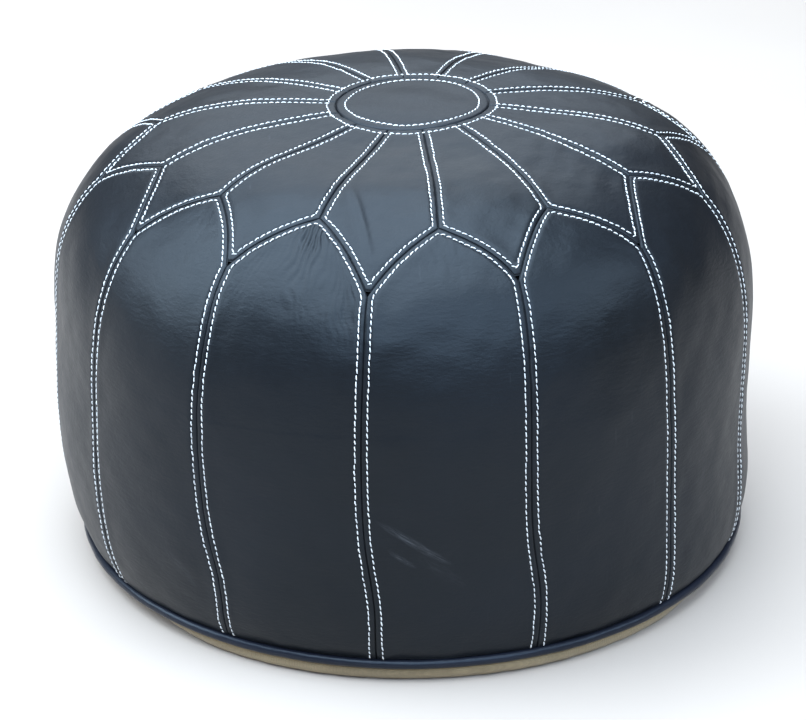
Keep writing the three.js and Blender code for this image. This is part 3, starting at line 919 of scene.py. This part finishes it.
def outlineRow(piece):  # the stitched line inside one panel's seams, from end to end
    kind, centre = piece["kind"], piece["centre"]
    u = np.linspace(-1, 1, 721)
    if kind == "side":
        arch = archLength(np.abs(u)) + sewing["arch"] / archSteepness(np.abs(u))
        ends = hemLength - sewing["hem"]
    else:
        arch = archLength(1 - np.abs(u)) - sewing["arch"] / archSteepness(1 - np.abs(u))
        ends = discLength + sewing["ring"]
    limit = 1 - rowInset(arch) / (halfAngle * radiusAt(arch))
    keep = np.abs(u) <= limit
    u, arch = u[keep], arch[keep]
    leg = np.linspace(ends, arch[0], 260)[:-1]
    legU = 1 - rowInset(leg) / (halfAngle * radiusAt(leg))
    allU = np.concatenate([-legU, u, legU[::-1]])
    allLength = np.concatenate([leg, arch, leg[::-1]])
    flat = np.stack([allU * halfAngle * radiusAt(allLength), allLength], axis=1)
    flat = evenly(flat, sewing["sample"])
    if kind == "side":  # the row turns gently where the petal above it comes to its tip
        kernel = np.hanning(sewing["turn"])
        kernel /= kernel.sum()
        half = sewing["turn"] // 2
        padded = np.pad(flat, ((half, half), (0, 0)), mode="reflect", reflect_type="odd")
        flat = np.stack([np.convolve(padded[:, k], kernel, "valid") for k in (0, 1)], axis=1)
    return centre + flat[:, 0] / radiusAt(flat[:, 1]), flat[:, 1]


for piece in sides + petals:
    angle, length = outlineRow(piece)
    seed = (100 if piece["kind"] == "side" else 150) + piece["number"]
    row = stitchRow(piece, angle, length, seed)
    sew("stitches_%s_%02d" % (piece["kind"], piece["number"]), [row])


def ringRow(radius, seed):
    angle = np.linspace(0, 2 * math.pi, 900)
    length = np.full_like(angle, lengthAt(radius))
    rng = np.random.default_rng(seed)
    for turns in (2, 3, 5, 9, 17):
        length = length + 0.22 * mm * rng.normal() * np.sin(turns * angle + rng.uniform(0, 6.28))
    if radius < body["disc"]:
        lift = discLift(length, angle)[0]
    else:
        lift = np.zeros_like(angle)
        for petal in petals:
            away = wrapped(angle - petal["centre"])
            near = np.abs(away) <= halfAngle * 1.001
            lift[near] = panelLift(petal, petal["centre"] + away[near], length[near])[0]
    points = onBody(angle, length, np.maximum(lift, -0.1 * mm))
    return points, bodyNormal(angle, length)


sew("stitches_disc", [ringRow(sewing["inDisc"], 61)], {"Seed": 9})
sew("stitches_ring", [ringRow(sewing["outDisc"], 62)], {"Seed": 12})
print("stitches ready")


piping.update({
    "reach": 7 * mm,  # of the two leather edges sewn into the seam behind the cord
    "wave": 0.12 * mm,
    "steps": 420,
    "opening": 0.16,  # radians to each side of the slot that the leather edges leave through
    "outerOpening": 0.18,
    "twists": 150,
})


def pipingCover():
    outer, inner = piping["radius"], piping["radius"] - piping["skin"]
    wide, narrow = math.pi - piping["outerOpening"], math.pi - piping["opening"]
    around, back = np.linspace(-wide, wide, 30), np.linspace(narrow, -narrow, 26)
    end = pipingR - outer - piping["reach"]
    shell = [(pipingR + outer * math.cos(a), pipingZ + outer * math.sin(a)) for a in around]
    shell += [(end, pipingZ + 0.6 * mm), (end, pipingZ + 0.1 * mm)]
    shell += [(pipingR + inner * math.cos(a), pipingZ + inner * math.sin(a)) for a in back]
    shell += [(end, pipingZ - 0.1 * mm), (end, pipingZ - 0.6 * mm)]
    angle = np.linspace(0, 2 * math.pi, piping["steps"], endpoint=False)[:, None]
    r, z = np.array(shell).T
    points = aroundZ(angle, r, z + 0 * angle).reshape(-1, 3)
    faces = gridFaces(piping["steps"], len(shell), closeRows=True, closeColumns=True)
    outward = points * [1, 1, 0]
    radius = np.linalg.norm(outward, axis=1)
    outward /= radius[:, None]
    proud = np.clip((radius - pipingR + outer) / (2 * outer), 0, 1)
    lump = piping["wave"] * (waves(points, 0.05, 41) + 0.6 * waves(points, 0.012, 42))
    points = points + outward * (lump * proud)[:, None]
    points[:, 2] += piping["wave"] * waves(points * [1, 1, 0], 0.09, 43) * proud
    seam = {"seam": np.full(len(points), 1.0)}
    made = faceOutwards(newObject("piping_leather", points, faces, pipingLeather, seam))
    claim(made, "piping_cover")


def pipingCordPiece():
    radius = piping["radius"] - piping["skin"] - 0.25 * mm
    steps, corners = 900, 14
    twist = np.linspace(0, 2 * math.pi * piping["twists"], steps, endpoint=False)[:, None]
    around = np.linspace(0, 2 * math.pi, corners, endpoint=False)[None, :]
    angle = np.linspace(0, 2 * math.pi, steps, endpoint=False)[:, None]
    swell = radius * (0.86 + 0.14 * np.cos(3 * (around - twist)))
    r = pipingR + swell * np.cos(around)
    z = pipingZ + swell * np.sin(around)
    points = aroundZ(angle, r, z).reshape(-1, 3)
    faces = gridFaces(steps, corners, closeRows=True, closeColumns=True)
    made = faceOutwards(newObject("piping_cotton", points, faces, cottonThread))
    claim(made, "piping_cord")


pipingCover()
pipingCordPiece()
print("piping ready")


canvas = {
    "thick": 1.6 * mm,
    "corner": 10 * mm,
    "bulgeIn": 1.2 * mm,
    "bulgeHeight": 7.6 * mm,
    "recess": 7 * mm,  # the zip's seam is drawn up by this much
    "recessFlat": 20 * mm,
    "recessSlope": 40 * mm,
    "recessBeyond": 34 * mm,  # past the end of the zip, room for the pull
    "slot": 5.5 * mm,
    "colour": (0.33, 0.252, 0.148),
    "shade": (0.25, 0.192, 0.115),
    "weave": 0.9 * mm,
    "tuck": 21 * mm,
    "seam": 0.25 * mm,  # from the middle plane to each half's edge
    "thread": 3.2 * mm,  # from the slot to the row of stitches
    "threadUp": 0.45 * mm,
}
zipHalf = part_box("zip_tape_front")[1].x - 4 * mm
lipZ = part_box("base_front")[1].z
lipR = pipingR - piping["radius"] - 2 * piping["gap"]


def wovenMaterial(name, colour, shade, pitch, depth, roughness=0.85, sheen=0.2):
    material = newMaterial(name)
    where = addNode(material, "ShaderNodeTexCoord").outputs["Object"]
    strayed = blendColours(material, 0.0004, where, noise(material, where, 90, 2), "ADD")
    yarn = {
        "Vector": strayed,
        "Scale": 0.314 / pitch,
        "Distortion": 0.6,
        "Detail": 1.0,
        "Detail Scale": 3.0,
    }
    sine = {"wave_type": "BANDS", "wave_profile": "SIN"}
    threads = [
        addNode(material, "ShaderNodeTexWave", yarn, bands_direction=axis, **sine).outputs["Fac"]
        for axis in ("X", "Y", "Z")
    ]
    cloth = combine(material, "MAXIMUM", threads[0], threads[1])
    cloth = combine(material, "MULTIPLY", cloth, combine(material, "ADD", threads[2], 0.6))
    stains = noise(material, where, 9, 4, 0.6)
    slubs = noise(material, stretched(material, where, (1, 6, 6)), 120, 3)
    tint = ramp(material, stains, [(0.34, shade), (0.62, colour)])
    # painted shade: the cloth is painted darker between the yarns, where the weave's bump is low
    hollowShade = remap(material, cloth, 0.9, 0.2, 0.0, 0.55)
    tint = blendColours(material, hollowShade, tint, scaled(shade, 0.7))
    # painted highlight: the slubs, which the bump raises, are painted lighter
    proud = remap(material, slubs, 0.55, 0.75, 0.0, 0.35)
    tint = blendColours(material, proud, tint, scaled(colour, 1.25))
    height = combine(material, "ADD", cloth, combine(material, "MULTIPLY", slubs, 0.5))
    shader = addNode(material, "ShaderNodeBsdfPrincipled", {
        "Base Color": tint,
        "Roughness": remap(material, slubs, 0.3, 0.7, roughness - 0.08, roughness + 0.08),
        "Specular IOR Level": 0.2,
        "Sheen Weight": sheen,
        "Sheen Roughness": 0.55,
        "Normal": bumped(material, height, 0.6, depth),
    })
    return finishMaterial(material, shader)


canvasCloth = wovenMaterial("base canvas", canvas["colour"], canvas["shade"], canvas["weave"], 0.25 * mm)


def baseProfile():  # from where the base lies flat, up its wall and in under the piping
    flatR, fullR = hemRadius - canvas["corner"], hemRadius - canvas["bulgeIn"]
    t = np.linspace(0, 1, 15)
    tall = canvas["bulgeHeight"]
    curve = [((1 - a) ** 2 * flatR + (2 - a) * a * fullR, a * a * tall) for a in t]
    rise = [(fullR - 0.1 * mm, tall + 1.6 * mm), (fullR - 0.5 * mm, tall + 3.0 * mm)]
    turnIn = [
        (pipingR - piping["radius"] / 2 - 0.3 * mm, lipZ - 2.2 * mm),
        (lipR - 0.2 * mm, lipZ - 0.4 * mm),
        (lipR - 3 * mm, lipZ),
        (lipR - 6.2 * mm, lipZ),
    ]
    return np.array(curve + rise + turnIn)


def smoothStep(value):
    value = np.clip(value, 0, 1)
    return value * value * (3 - 2 * value)


def baseRecess(x, y):
    long = zipHalf + canvas["recessBeyond"]
    across = smoothStep(1 - (np.abs(y) - canvas["recessFlat"]) / canvas["recessSlope"] * 1.15)
    along = smoothStep(1 - (np.abs(x) - long) / canvas["recessSlope"] * 1.15)
    return canvas["recess"] * across * along


def baseTuck(angle):  # the cloth curves in under the sides and shows its full height in front
    away = np.abs(wrapped(angle + math.radians(2)))
    beside = smoothStep((away - math.radians(33)) / math.radians(38))
    flat = np.stack([np.sin(angle), np.cos(angle), 0 * angle], axis=-1)
    return canvas["tuck"] * beside * (0.85 + 0.15 * waves(flat, 1.1, 55))


def baseHalf(name, side):  # side is -1 for the half at -Y
    turns = np.linspace(-math.pi / 2, math.pi / 2, 161) * 0.9995
    rim = baseProfile()
    spread = np.concatenate([[0, 0.4, 1.2, 2.4, 3.4, 4.2, 6], np.linspace(10, 100, 40)]) / 100
    flatR = rim[0, 0]
    rows = []
    for portion in spread:
        x0, y0 = flatR * 0.9965 * np.sin(turns), np.full_like(turns, canvas["slot"])
        beyond = np.clip((np.abs(x0) - zipHalf - 9 * mm) / (3 * mm), 0, 1)
        y0 = y0 * (1 - beyond) + canvas["seam"] * beyond
        y0 = np.minimum(y0, np.sqrt(np.maximum(flatR**2 - x0**2, 0)) * 0.5 + 0.2 * mm)
        x1, y1 = flatR * np.sin(turns), np.maximum(flatR * np.cos(turns), canvas["seam"])
        x, y = x0 * (1 - portion) + x1 * portion, y0 * (1 - portion) + y1 * portion
        rows.append(np.stack([x, side * y, 0 * x], axis=-1))
    for r, z in rim[1:]:
        x, y = r * np.sin(turns), np.maximum(r * np.cos(turns), canvas["seam"])
        flat = np.stack([x, y, 0 * x], axis=-1)
        stray = 0.35 * mm * waves(flat, 0.018, 51) + 0.5 * mm * waves(flat, 0.12, 52)
        grow = 1 + stray * math.sin(math.pi * min(z / lipZ, 1)) / r
        rows.append(np.stack([x * grow, side * y * grow, np.full_like(x, z)], axis=-1))
    low = np.stack(rows)
    radial = np.linalg.norm(low[..., :2], axis=-1)
    angle = np.arctan2(low[..., 0], -low[..., 1])
    upTo = np.clip(1 - low[..., 2] / lipZ, 0, 1) ** 1.3 * np.clip(radial / flatR, 0, 1) ** 6
    drawn = 1 - baseTuck(angle) * upTo / np.maximum(radial, 1e-3)
    low[..., 0] *= drawn
    low[..., 1] = side * np.maximum(side * low[..., 1] * drawn, canvas["seam"])
    onFloor = np.stack([low[..., 0], low[..., 1], 0 * radial], axis=-1)
    inside = smoothStep((flatR - canvas["tuck"] - radial) / (25 * mm))
    low[..., 2] += baseRecess(low[..., 0], low[..., 1]) * (low[..., 2] < 1e-6)
    low[..., 2] += inside * np.clip(0.15 * mm + 0.15 * mm * waves(onFloor, 0.06, 53), 0, 0.35 * mm)
    fromRow = np.abs(low[..., 1]) - canvas["slot"] - canvas["thread"]
    low[..., 2] += 0.2 * mm * inside * np.exp(-((fromRow / (1.1 * mm)) ** 2))
    normal = np.cross(np.gradient(low, axis=1), np.gradient(low, axis=0))
    normal /= np.maximum(np.linalg.norm(normal, axis=-1), 1e-12)[..., None]
    normal *= np.sign(normal[20, 80, 2])
    high = low + normal * canvas["thick"]
    high[..., 1] = side * np.maximum(side * high[..., 1], canvas["seam"])
    count, columns = low.shape[:2]
    points = np.concatenate([low.reshape(-1, 3), high.reshape(-1, 3)])
    piece = faceOutwards(newObject("canvas_" + name, points, shellFaces(count, columns), canvasCloth))
    claim(piece, "base_" + name)


baseHalf("front", -1)
baseHalf("back", 1)


def straightRow(start, end, seed):
    count = int(abs(end[0] - start[0]) / (2 * mm)) + 2
    points = np.linspace(start, end, count)
    rng = np.random.default_rng(seed)
    points[:, 1] += 0.15 * mm * np.convolve(rng.normal(size=count), np.hanning(12), "same") / 2
    points[:, 2] = baseRecess(points[:, 0], points[:, 1]) + canvas["threadUp"]
    return points, np.tile([0.0, 0.0, -1.0], (count, 1))


def zipSewing():
    reach = zipHalf + 8 * mm
    inRow = canvas["slot"] + canvas["thread"]
    rows = [
        straightRow((-reach, side * inRow, 0), (reach, side * inRow, 0), 70 + side)
        for side in (-1, 1)
    ]
    small = {"Pitch": 3.4 * mm, "Dash": 2.6 * mm, "Thick": 0.8 * mm, "Rise": 0.5 * mm}
    sew("stitches_base", rows, small)


zipSewing()
print("canvas base ready")


zipper = {
    "tape": (0.012, 0.014, 0.019),
    "tapeShade": (0.020, 0.022, 0.028),
    "brass": (0.43, 0.33, 0.155),
    "pitch": 2.5 * mm,
    "toothFrom": 0.42 * mm,  # from the middle of the zip
    "toothTo": 4.0 * mm,
    "bevel": 0.22 * mm,
    "web": 0.2 * mm,
}
teethLow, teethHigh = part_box("zip_teeth_front")
sliderLow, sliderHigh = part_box("zip_slider")
tabLow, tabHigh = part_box("zip_pull_tab")
sliderX = (sliderLow.x + sliderHigh.x) / 2


def brassMaterial(name):
    material = newMaterial(name)
    where = addNode(material, "ShaderNodeTexCoord").outputs["Object"]
    tarnish = noise(material, where, 260, 4, 0.6)
    streak = noise(material, stretched(material, where, (60, 900, 300)), 1.0, 3)
    tint = ramp(material, tarnish, [(0.35, scaled(zipper["brass"], 0.45)), (0.6, zipper["brass"])])
    rough = remap(material, combine(material, "ADD", tarnish, streak), 0.7, 1.3, 0.42, 0.24)
    shader = addNode(material, "ShaderNodeBsdfPrincipled", {
        "Base Color": tint,
        "Metallic": 1.0,
        "Roughness": rough,
        "Normal": bumped(material, streak, 0.25, 0.05 * mm),
    })
    return finishMaterial(material, shader)


zipBrass = brassMaterial("antique brass")
zipCloth = wovenMaterial("zip tape", zipper["tape"], zipper["tapeShade"], 0.7 * mm, 0.15 * mm, 0.75, 0.3)


def zipTape(name, side):
    low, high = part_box("zip_tape_" + name)
    across = np.linspace(0, 1, 17)
    near, far = (high.y, low.y) if side < 0 else (low.y, high.y)
    xs = np.linspace(low.x, high.x, 170)
    x, t = np.meshgrid(xs, across, indexing="ij")
    y = near + (far - near) * t
    flat = np.stack([x, y, 0 * x], axis=-1)
    ribs = 0.05 * mm * np.cos(t * 2 * math.pi * 5) + 0.05 * mm * waves(flat, 0.03, 61)
    bottom, top = low.z + 0.1 * mm + ribs, high.z - 0.1 * mm + ribs
    points = np.stack([[x, y, bottom], [x, y, top]]).transpose(0, 2, 3, 1).reshape(-1, 3)
    made = faceOutwards(newObject("tape_" + name, points, shellFaces(*x.shape), zipCloth))
    claim(made, "zip_tape_" + name)
    flat = (abs(far - near), high.x - low.x)


def plate(outline, low, high, bevel, hole=None):  # a flat metal piece with softened edges
    curve = bpy.data.curves.new("plate", "CURVE")
    curve.dimensions = "2D"
    curve.fill_mode = "BOTH"
    curve.extrude = (high - low) / 2 - bevel
    curve.bevel_depth = bevel
    curve.bevel_resolution = 2
    curve.offset = -bevel
    for loop in [outline] + ([hole] if hole is not None else []):
        spline = curve.splines.new("POLY")
        spline.points.add(len(loop) - 1)
        corners = np.column_stack([loop, np.tile([0, 1], (len(loop), 1))])
        spline.points.foreach_set("co", corners.ravel())
        spline.use_cyclic_u = True
    holder = linked("plate", curve)
    mesh = bpy.data.meshes.new_from_object(holder.evaluated_get(bpy.context.evaluated_depsgraph_get()))
    bpy.data.objects.remove(holder)
    mesh.transform(Matrix.Translation((0, 0, (low + high) / 2)))
    return mesh


def joined(name, meshes, material):
    work = bmesh.new()
    for mesh in meshes:
        work.from_mesh(mesh)
    bmesh.ops.remove_doubles(work, verts=work.verts, dist=0.004 * mm)
    bmesh.ops.recalc_face_normals(work, faces=work.faces)
    made = bpy.data.meshes.new(name)
    work.to_mesh(made)
    work.free()
    made.materials.clear()
    made.materials.append(material)
    made.shade_smooth()
    made.set_sharp_from_angle(angle=math.radians(35))
    return linked(name, made)


def toothMesh():  # crimped foot, waist and rounded head; the head points to -Y
    start, end = zipper["toothFrom"], zipper["toothTo"]
    half = [(start, 0.30), (start + 0.2 * mm, 0.5), (1.2 * mm, 0.56), (1.7 * mm, 0.36)]
    half += [(2.2 * mm, 0.42), (2.6 * mm, 0.66), (end, 0.62)]
    outline = [(x * mm, y) for y, x in half] + [(-x * mm, y) for y, x in reversed(half)]
    work = bmesh.new()
    inset = 0.3 * mm
    levels = [(teethLow.z, 0.8, 0.9), (teethLow.z + inset, 1, 1)]
    levels += [(teethHigh.z - inset, 1, 1), (teethHigh.z, 0.8, 0.9)]
    middle = (start + end) / 2
    rings = []
    for z, wide, long in levels:
        ring = [(x * wide, middle + (y - middle) * long, z) for x, y in outline]
        rings.append([work.verts.new(point) for point in ring])
    count = len(outline)
    for lower, upper in zip(rings, rings[1:]):
        for i in range(count):
            work.faces.new((lower[i], lower[(i + 1) % count], upper[(i + 1) % count], upper[i]))
    work.faces.new(rings[0])
    work.faces.new(rings[-1])
    bmesh.ops.recalc_face_normals(work, faces=work.faces)
    mesh = bpy.data.meshes.new("tooth")
    work.to_mesh(mesh)
    work.free()
    return mesh


def rowTree(tooth):
    tree, given, even = pathTree("row of teeth", {"Pitch": zipper["pitch"], "Turn": 0.0})
    shape = addNode(tree, "GeometryNodeObjectInfo", {"Object": tooth}).outputs["Geometry"]
    turn = addNode(tree, "ShaderNodeCombineXYZ", {"Z": given["Turn"]}).outputs[0]
    limits = {"Min": (-0.02, -0.02, -0.04), "Max": (0.02, 0.02, 0.04), "Seed": given["Seed"]}
    shake = addNode(tree, "FunctionNodeRandomValue", limits, data_type="FLOAT_VECTOR").outputs[0]
    total = addNode(tree, "ShaderNodeVectorMath", {0: turn, 1: shake}).outputs[0]
    each = {"Points": even, "Instance": shape, "Rotation": total}
    return closeTree(tree, addNode(tree, "GeometryNodeInstanceOnPoints", each).outputs[0], given)


tooth = linked("tooth", toothMesh())
rowOfTeeth = rowTree(tooth)


def zipTeeth(name, side):
    low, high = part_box("zip_teeth_" + name)
    shift = zipper["pitch"] / 2 if side > 0 else 0
    mesh = bpy.data.meshes.new("teeth_path")
    mesh.from_pydata([(low.x + 1 * mm + shift, 0, 0), (high.x - 1 * mm, 0, 0)], [(0, 1)], [])
    path = linked("teeth_path", mesh)
    facing = 0.0 if side > 0 else math.pi
    made = grown(path, rowOfTeeth, {"Turn": facing, "Seed": 5 + side, "Material": zipBrass})
    made.shade_smooth()
    made.set_sharp_from_angle(angle=math.radians(30))
    claim(linked("teeth_" + name, made), "zip_teeth_" + name)


def boxOutline(x0, x1, y0, y1):
    return np.array([(x0, y0), (x1, y0), (x1, y1), (x0, y1)])


def zipStop(name):
    low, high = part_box("zip_stop_" + name)
    outline = boxOutline(low.x, high.x, low.y, high.y)
    ridge = boxOutline(low.x + 1.2 * mm, high.x - 1.2 * mm, low.y + 0.3 * mm, high.y - 0.3 * mm)
    meshes = [plate(outline, low.z + 0.25 * mm, high.z, zipper["bevel"])]
    meshes.append(plate(ridge, low.z, low.z + 0.7 * mm, 0.12 * mm))
    claim(joined("stop_" + name, meshes, zipBrass), "zip_stop_" + name)


def shieldOutline():
    half = sliderHigh.x - sliderX
    wide = sliderHigh.y
    tail = 0.62 * wide
    turn = np.linspace(0, math.pi, 19)
    nose = [(sliderX + half * (0.3 + 0.7 * math.sin(a)), -wide * math.cos(a)) for a in turn]
    return np.array([(sliderX - half, -tail)] + nose + [(sliderX - half, tail)])


def zipSlider():
    gapLow, gapHigh = teethLow.z - 0.4 * mm, teethHigh.z + 0.4 * mm
    outer = gapLow - 1.2 * mm
    web = boxOutline(sliderX - 1.2 * mm, sliderHigh.x - 1.3 * mm, -zipper["web"], zipper["web"])
    meshes = [
        plate(shieldOutline(), outer, gapLow, 0.35 * mm),
        plate(shieldOutline(), gapHigh, sliderHigh.z, 0.35 * mm),
        plate(web, gapLow - 0.3 * mm, gapHigh + 0.3 * mm, 0.08 * mm),
    ]
    legHigh, half = outer + 0.5 * mm, 3 * mm
    crown = sliderLow.z + 0.4 * mm
    turn = np.linspace(0, math.pi, 25)  # the bridge that holds the pull, an upside-down U
    x, z = -np.cos(turn), np.abs(np.sin(turn))
    reach = (half - 0.4 * mm) * np.sign(x) * np.abs(x) ** 0.45
    arch = np.stack([sliderX + reach, legHigh + (crown - legHigh) * z**0.45], axis=1)
    around = np.linspace(0, 2 * math.pi, 12, endpoint=False)
    direction = np.gradient(arch, axis=0)
    direction /= np.linalg.norm(direction, axis=1)[:, None]
    rings = []
    across = 1.15 * mm * np.sign(np.cos(around)) * np.abs(np.cos(around)) ** 0.6
    thick = 0.4 * mm * np.sin(around)
    for (x, z), (dx, dz) in zip(arch, direction):
        rings.append(np.stack([x - dz * thick, across, z + dx * thick], axis=1))
    points = np.array(rings).reshape(-1, 3)
    points[:, 2] = np.maximum(points[:, 2], sliderLow.z)
    faces = gridFaces(len(rings), len(around), closeColumns=True).tolist()
    faces += [list(range(len(around))), list(range(len(points) - len(around), len(points)))]
    bridge = bpy.data.meshes.new("bridge")
    bridge.from_pydata(points.tolist(), [], faces)
    meshes.append(bridge)
    claim(joined("slider", meshes, zipBrass), "zip_slider", "zip_slider")


def pullTab():
    low, high = tabLow, tabHigh
    wide = high.y
    turn = np.linspace(-math.pi / 2, math.pi / 2, 17)
    end = [(high.x - wide + wide * math.cos(a), wide * math.sin(a)) for a in turn]
    rail = 2.95 * mm
    neck = [(low.x + 5.6 * mm, rail - 0.05 * mm), (low.x, rail - 0.05 * mm)]
    outline = np.array([(x, -y) for x, y in reversed(neck)] + end + neck)
    opening = boxOutline(low.x + 1.0 * mm, low.x + 4.5 * mm, -1.95 * mm, 1.95 * mm)
    circle = np.linspace(0, 2 * math.pi, 24, endpoint=False)
    grip = np.stack([high.x - wide + 1.9 * mm * np.cos(circle), 1.9 * mm * np.sin(circle)], axis=1)
    blade = plate(outline, low.z, high.z, 0.18 * mm, opening)
    ribs = [plate(boxOutline(x, x + 0.7 * mm, -2.4 * mm, 2.4 * mm), low.z, high.z, 0.12 * mm)
            for x in np.arange(high.x - 17 * mm, high.x - 9 * mm, 1.6 * mm)]
    meshes = [blade] + ribs + [plate(grip, low.z, high.z, 0.2 * mm)]
    claim(joined("pull", meshes, zipBrass), "zip_pull_tab", "pull_tab")


for name, side in (("front", -1), ("back", 1)):
    zipTape(name, side)
    zipTeeth(name, side)
for name in ("front", "back", "end"):
    zipStop(name)
bpy.data.objects.remove(tooth)
zipSlider()
pullTab()
print("zip ready")

inside = {
    "edge": 22 * mm,
    "lump": 1.2 * mm,
    # the lining's charcoal is partly its own colour and partly painted shade: it is kept dark so that
    # glimpses of it through the gaps where the panels meet read as shade
    "lining": (0.034, 0.036, 0.042),
    "liningShade": (0.022, 0.023, 0.028),
    "scrap": (0.34, 0.27, 0.21),
    "scrapShade": (0.17, 0.15, 0.15),
}
liningCloth = wovenMaterial("lining cotton", inside["lining"], inside["liningShade"], 0.6 * mm, 0.12 * mm)
scrapCloth = wovenMaterial(
    "scrap filling", inside["scrap"], inside["scrapShade"], 3.0 * mm, 1.2 * mm, 0.9, 0.35
)


def softCopy(node, name, material):
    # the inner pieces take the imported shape, softened by the same settling as the leather
    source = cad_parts[node]
    work = bmesh.new()
    work.from_mesh(source.data)
    bmesh.ops.remove_doubles(work, verts=work.verts, dist=0.01 * mm)
    for _ in range(6):
        long = [edge for edge in work.edges if edge.calc_length() > inside["edge"]]
        if not long:
            break
        bmesh.ops.subdivide_edges(work, edges=long, cuts=1)
        bmesh.ops.triangulate(work, faces=work.faces)
    mesh = bpy.data.meshes.new(name)
    work.to_mesh(mesh)
    work.free()
    points = np.empty(len(mesh.vertices) * 3, np.float32)
    mesh.vertices.foreach_get("co", points)
    points = points.reshape(-1, 3).astype(float)
    high = np.clip((points[:, 2] - 60 * mm) / (80 * mm), 0, 1)
    radial = np.linalg.norm(points[:, :2], axis=1)
    sunk = inside["lump"] * (1 + waves(points, 0.07, 71)).clip(0, 2) / 2 * high
    sunk *= np.clip(radial / (150 * mm), 0, 1)
    points[:, :2] -= points[:, :2] / np.maximum(radial, 1e-3)[:, None] * sunk[:, None]
    lower = 0.5 * mm * (1 + waves(points, 0.06, 72)).clip(0, 2) * high
    points[:, 2] -= lower * (1 - np.clip(radial / (200 * mm), 0, 1))
    points = settle(points)
    mesh.vertices.foreach_set("co", points.astype(np.float32).ravel())
    mesh.materials.clear()
    mesh.materials.append(material)
    mesh.shade_smooth()
    mesh.set_sharp_from_angle(angle=math.radians(50))
    mesh.update()
    return claim(linked(name, mesh), node)


lining = softCopy("lining_bag", "lining_cloth", liningCloth)
stuffingPiece = softCopy("filling", "scrap_stuffing", scrapCloth)
print("lining and filling ready")


def softStage():
    corners = np.array([[-30, -30, 0], [30, -30, 0], [30, 30, 0], [-30, 30, 0]], float)
    paper = newMaterial("pale floor")
    where = addNode(paper, "ShaderNodeTexCoord").outputs["Object"]
    tones = [(0.3, (0.46, 0.395, 0.352)), (0.7, (0.475, 0.410, 0.367))]
    tone = ramp(paper, noise(paper, where, 3, 2), tones)
    matt = {"Base Color": tone, "Roughness": 0.9, "Specular IOR Level": 0.1}
    finishMaterial(paper, addNode(paper, "ShaderNodeBsdfPrincipled", matt))
    floor = newObject("floor", corners, [[0, 1, 2, 3]], paper)


softStage()

view = {
    "distance": 2.2,
    "elevation": 25.1,
    "azimuth": -6.9,
    "roll": -0.62,
    "aim": (-0.006, 0.0, 0.135),
    "lens": 126.4,
}
lights = {  # size (m), strength (W), colour, place
    "ceiling": ((3.2, 2.8), 226, (0.73, 0.87, 1.0), (-0.42, -0.15, 2.6)),
    "left": ((2.2, 1.9), 92, (0.72, 0.87, 1.0), (-2.6, 0.3, 1.8)),
    "front": ((3.4, 1.4), 90, (0.60, 0.79, 1.0), (0.3, -2.8, 2.25)),
    "right": ((1.6, 1.4), 33, (0.68, 0.84, 1.0), (2.3, -1.15, 1.75)),
    "back": ((3.4, 2.2), 56, (0.80, 0.90, 1.0), (0.1, 2.9, 2.3)),
}


def addCamera():
    camera = linked("camera", bpy.data.cameras.new("camera"))
    up, turned = math.radians(view["elevation"]), math.radians(view["azimuth"])
    aim = Vector(view["aim"])
    away = Vector((math.sin(turned) * math.cos(up), -math.cos(turned) * math.cos(up), math.sin(up)))
    camera.location = aim + away * view["distance"]
    look = (-away).to_track_quat("-Z", "Y").to_matrix()
    camera.rotation_euler = (look @ Matrix.Rotation(math.radians(view["roll"]), 3, "Z")).to_euler()
    camera.data.lens = view["lens"]
    camera.data.sensor_width = 36
    camera.data.clip_end = 100
    scene.camera = camera


def addLights():
    for name, (size, watts, colour, place) in lights.items():
        lamp = bpy.data.lights.new(name, "AREA")
        lamp.shape = "RECTANGLE"
        lamp.size, lamp.size_y = size
        lamp.energy = watts
        lamp.color = colour
        holder = linked(name, lamp)
        holder.location = place
        aim = Vector((0, 0, 0.15)) - holder.location
        holder.rotation_euler = aim.to_track_quat("-Z", "Y").to_euler()
    world = bpy.data.worlds.new("studio")
    scene.world = world
    world.use_nodes = True
    backdrop = world.node_tree.nodes["Background"]
    backdrop.inputs["Color"].default_value = (1.0, 0.98, 0.96, 1)
    backdrop.inputs["Strength"].default_value = 0.13
    scene.view_settings.view_transform = "Standard"


addCamera()
addLights()
print("camera and light ready")
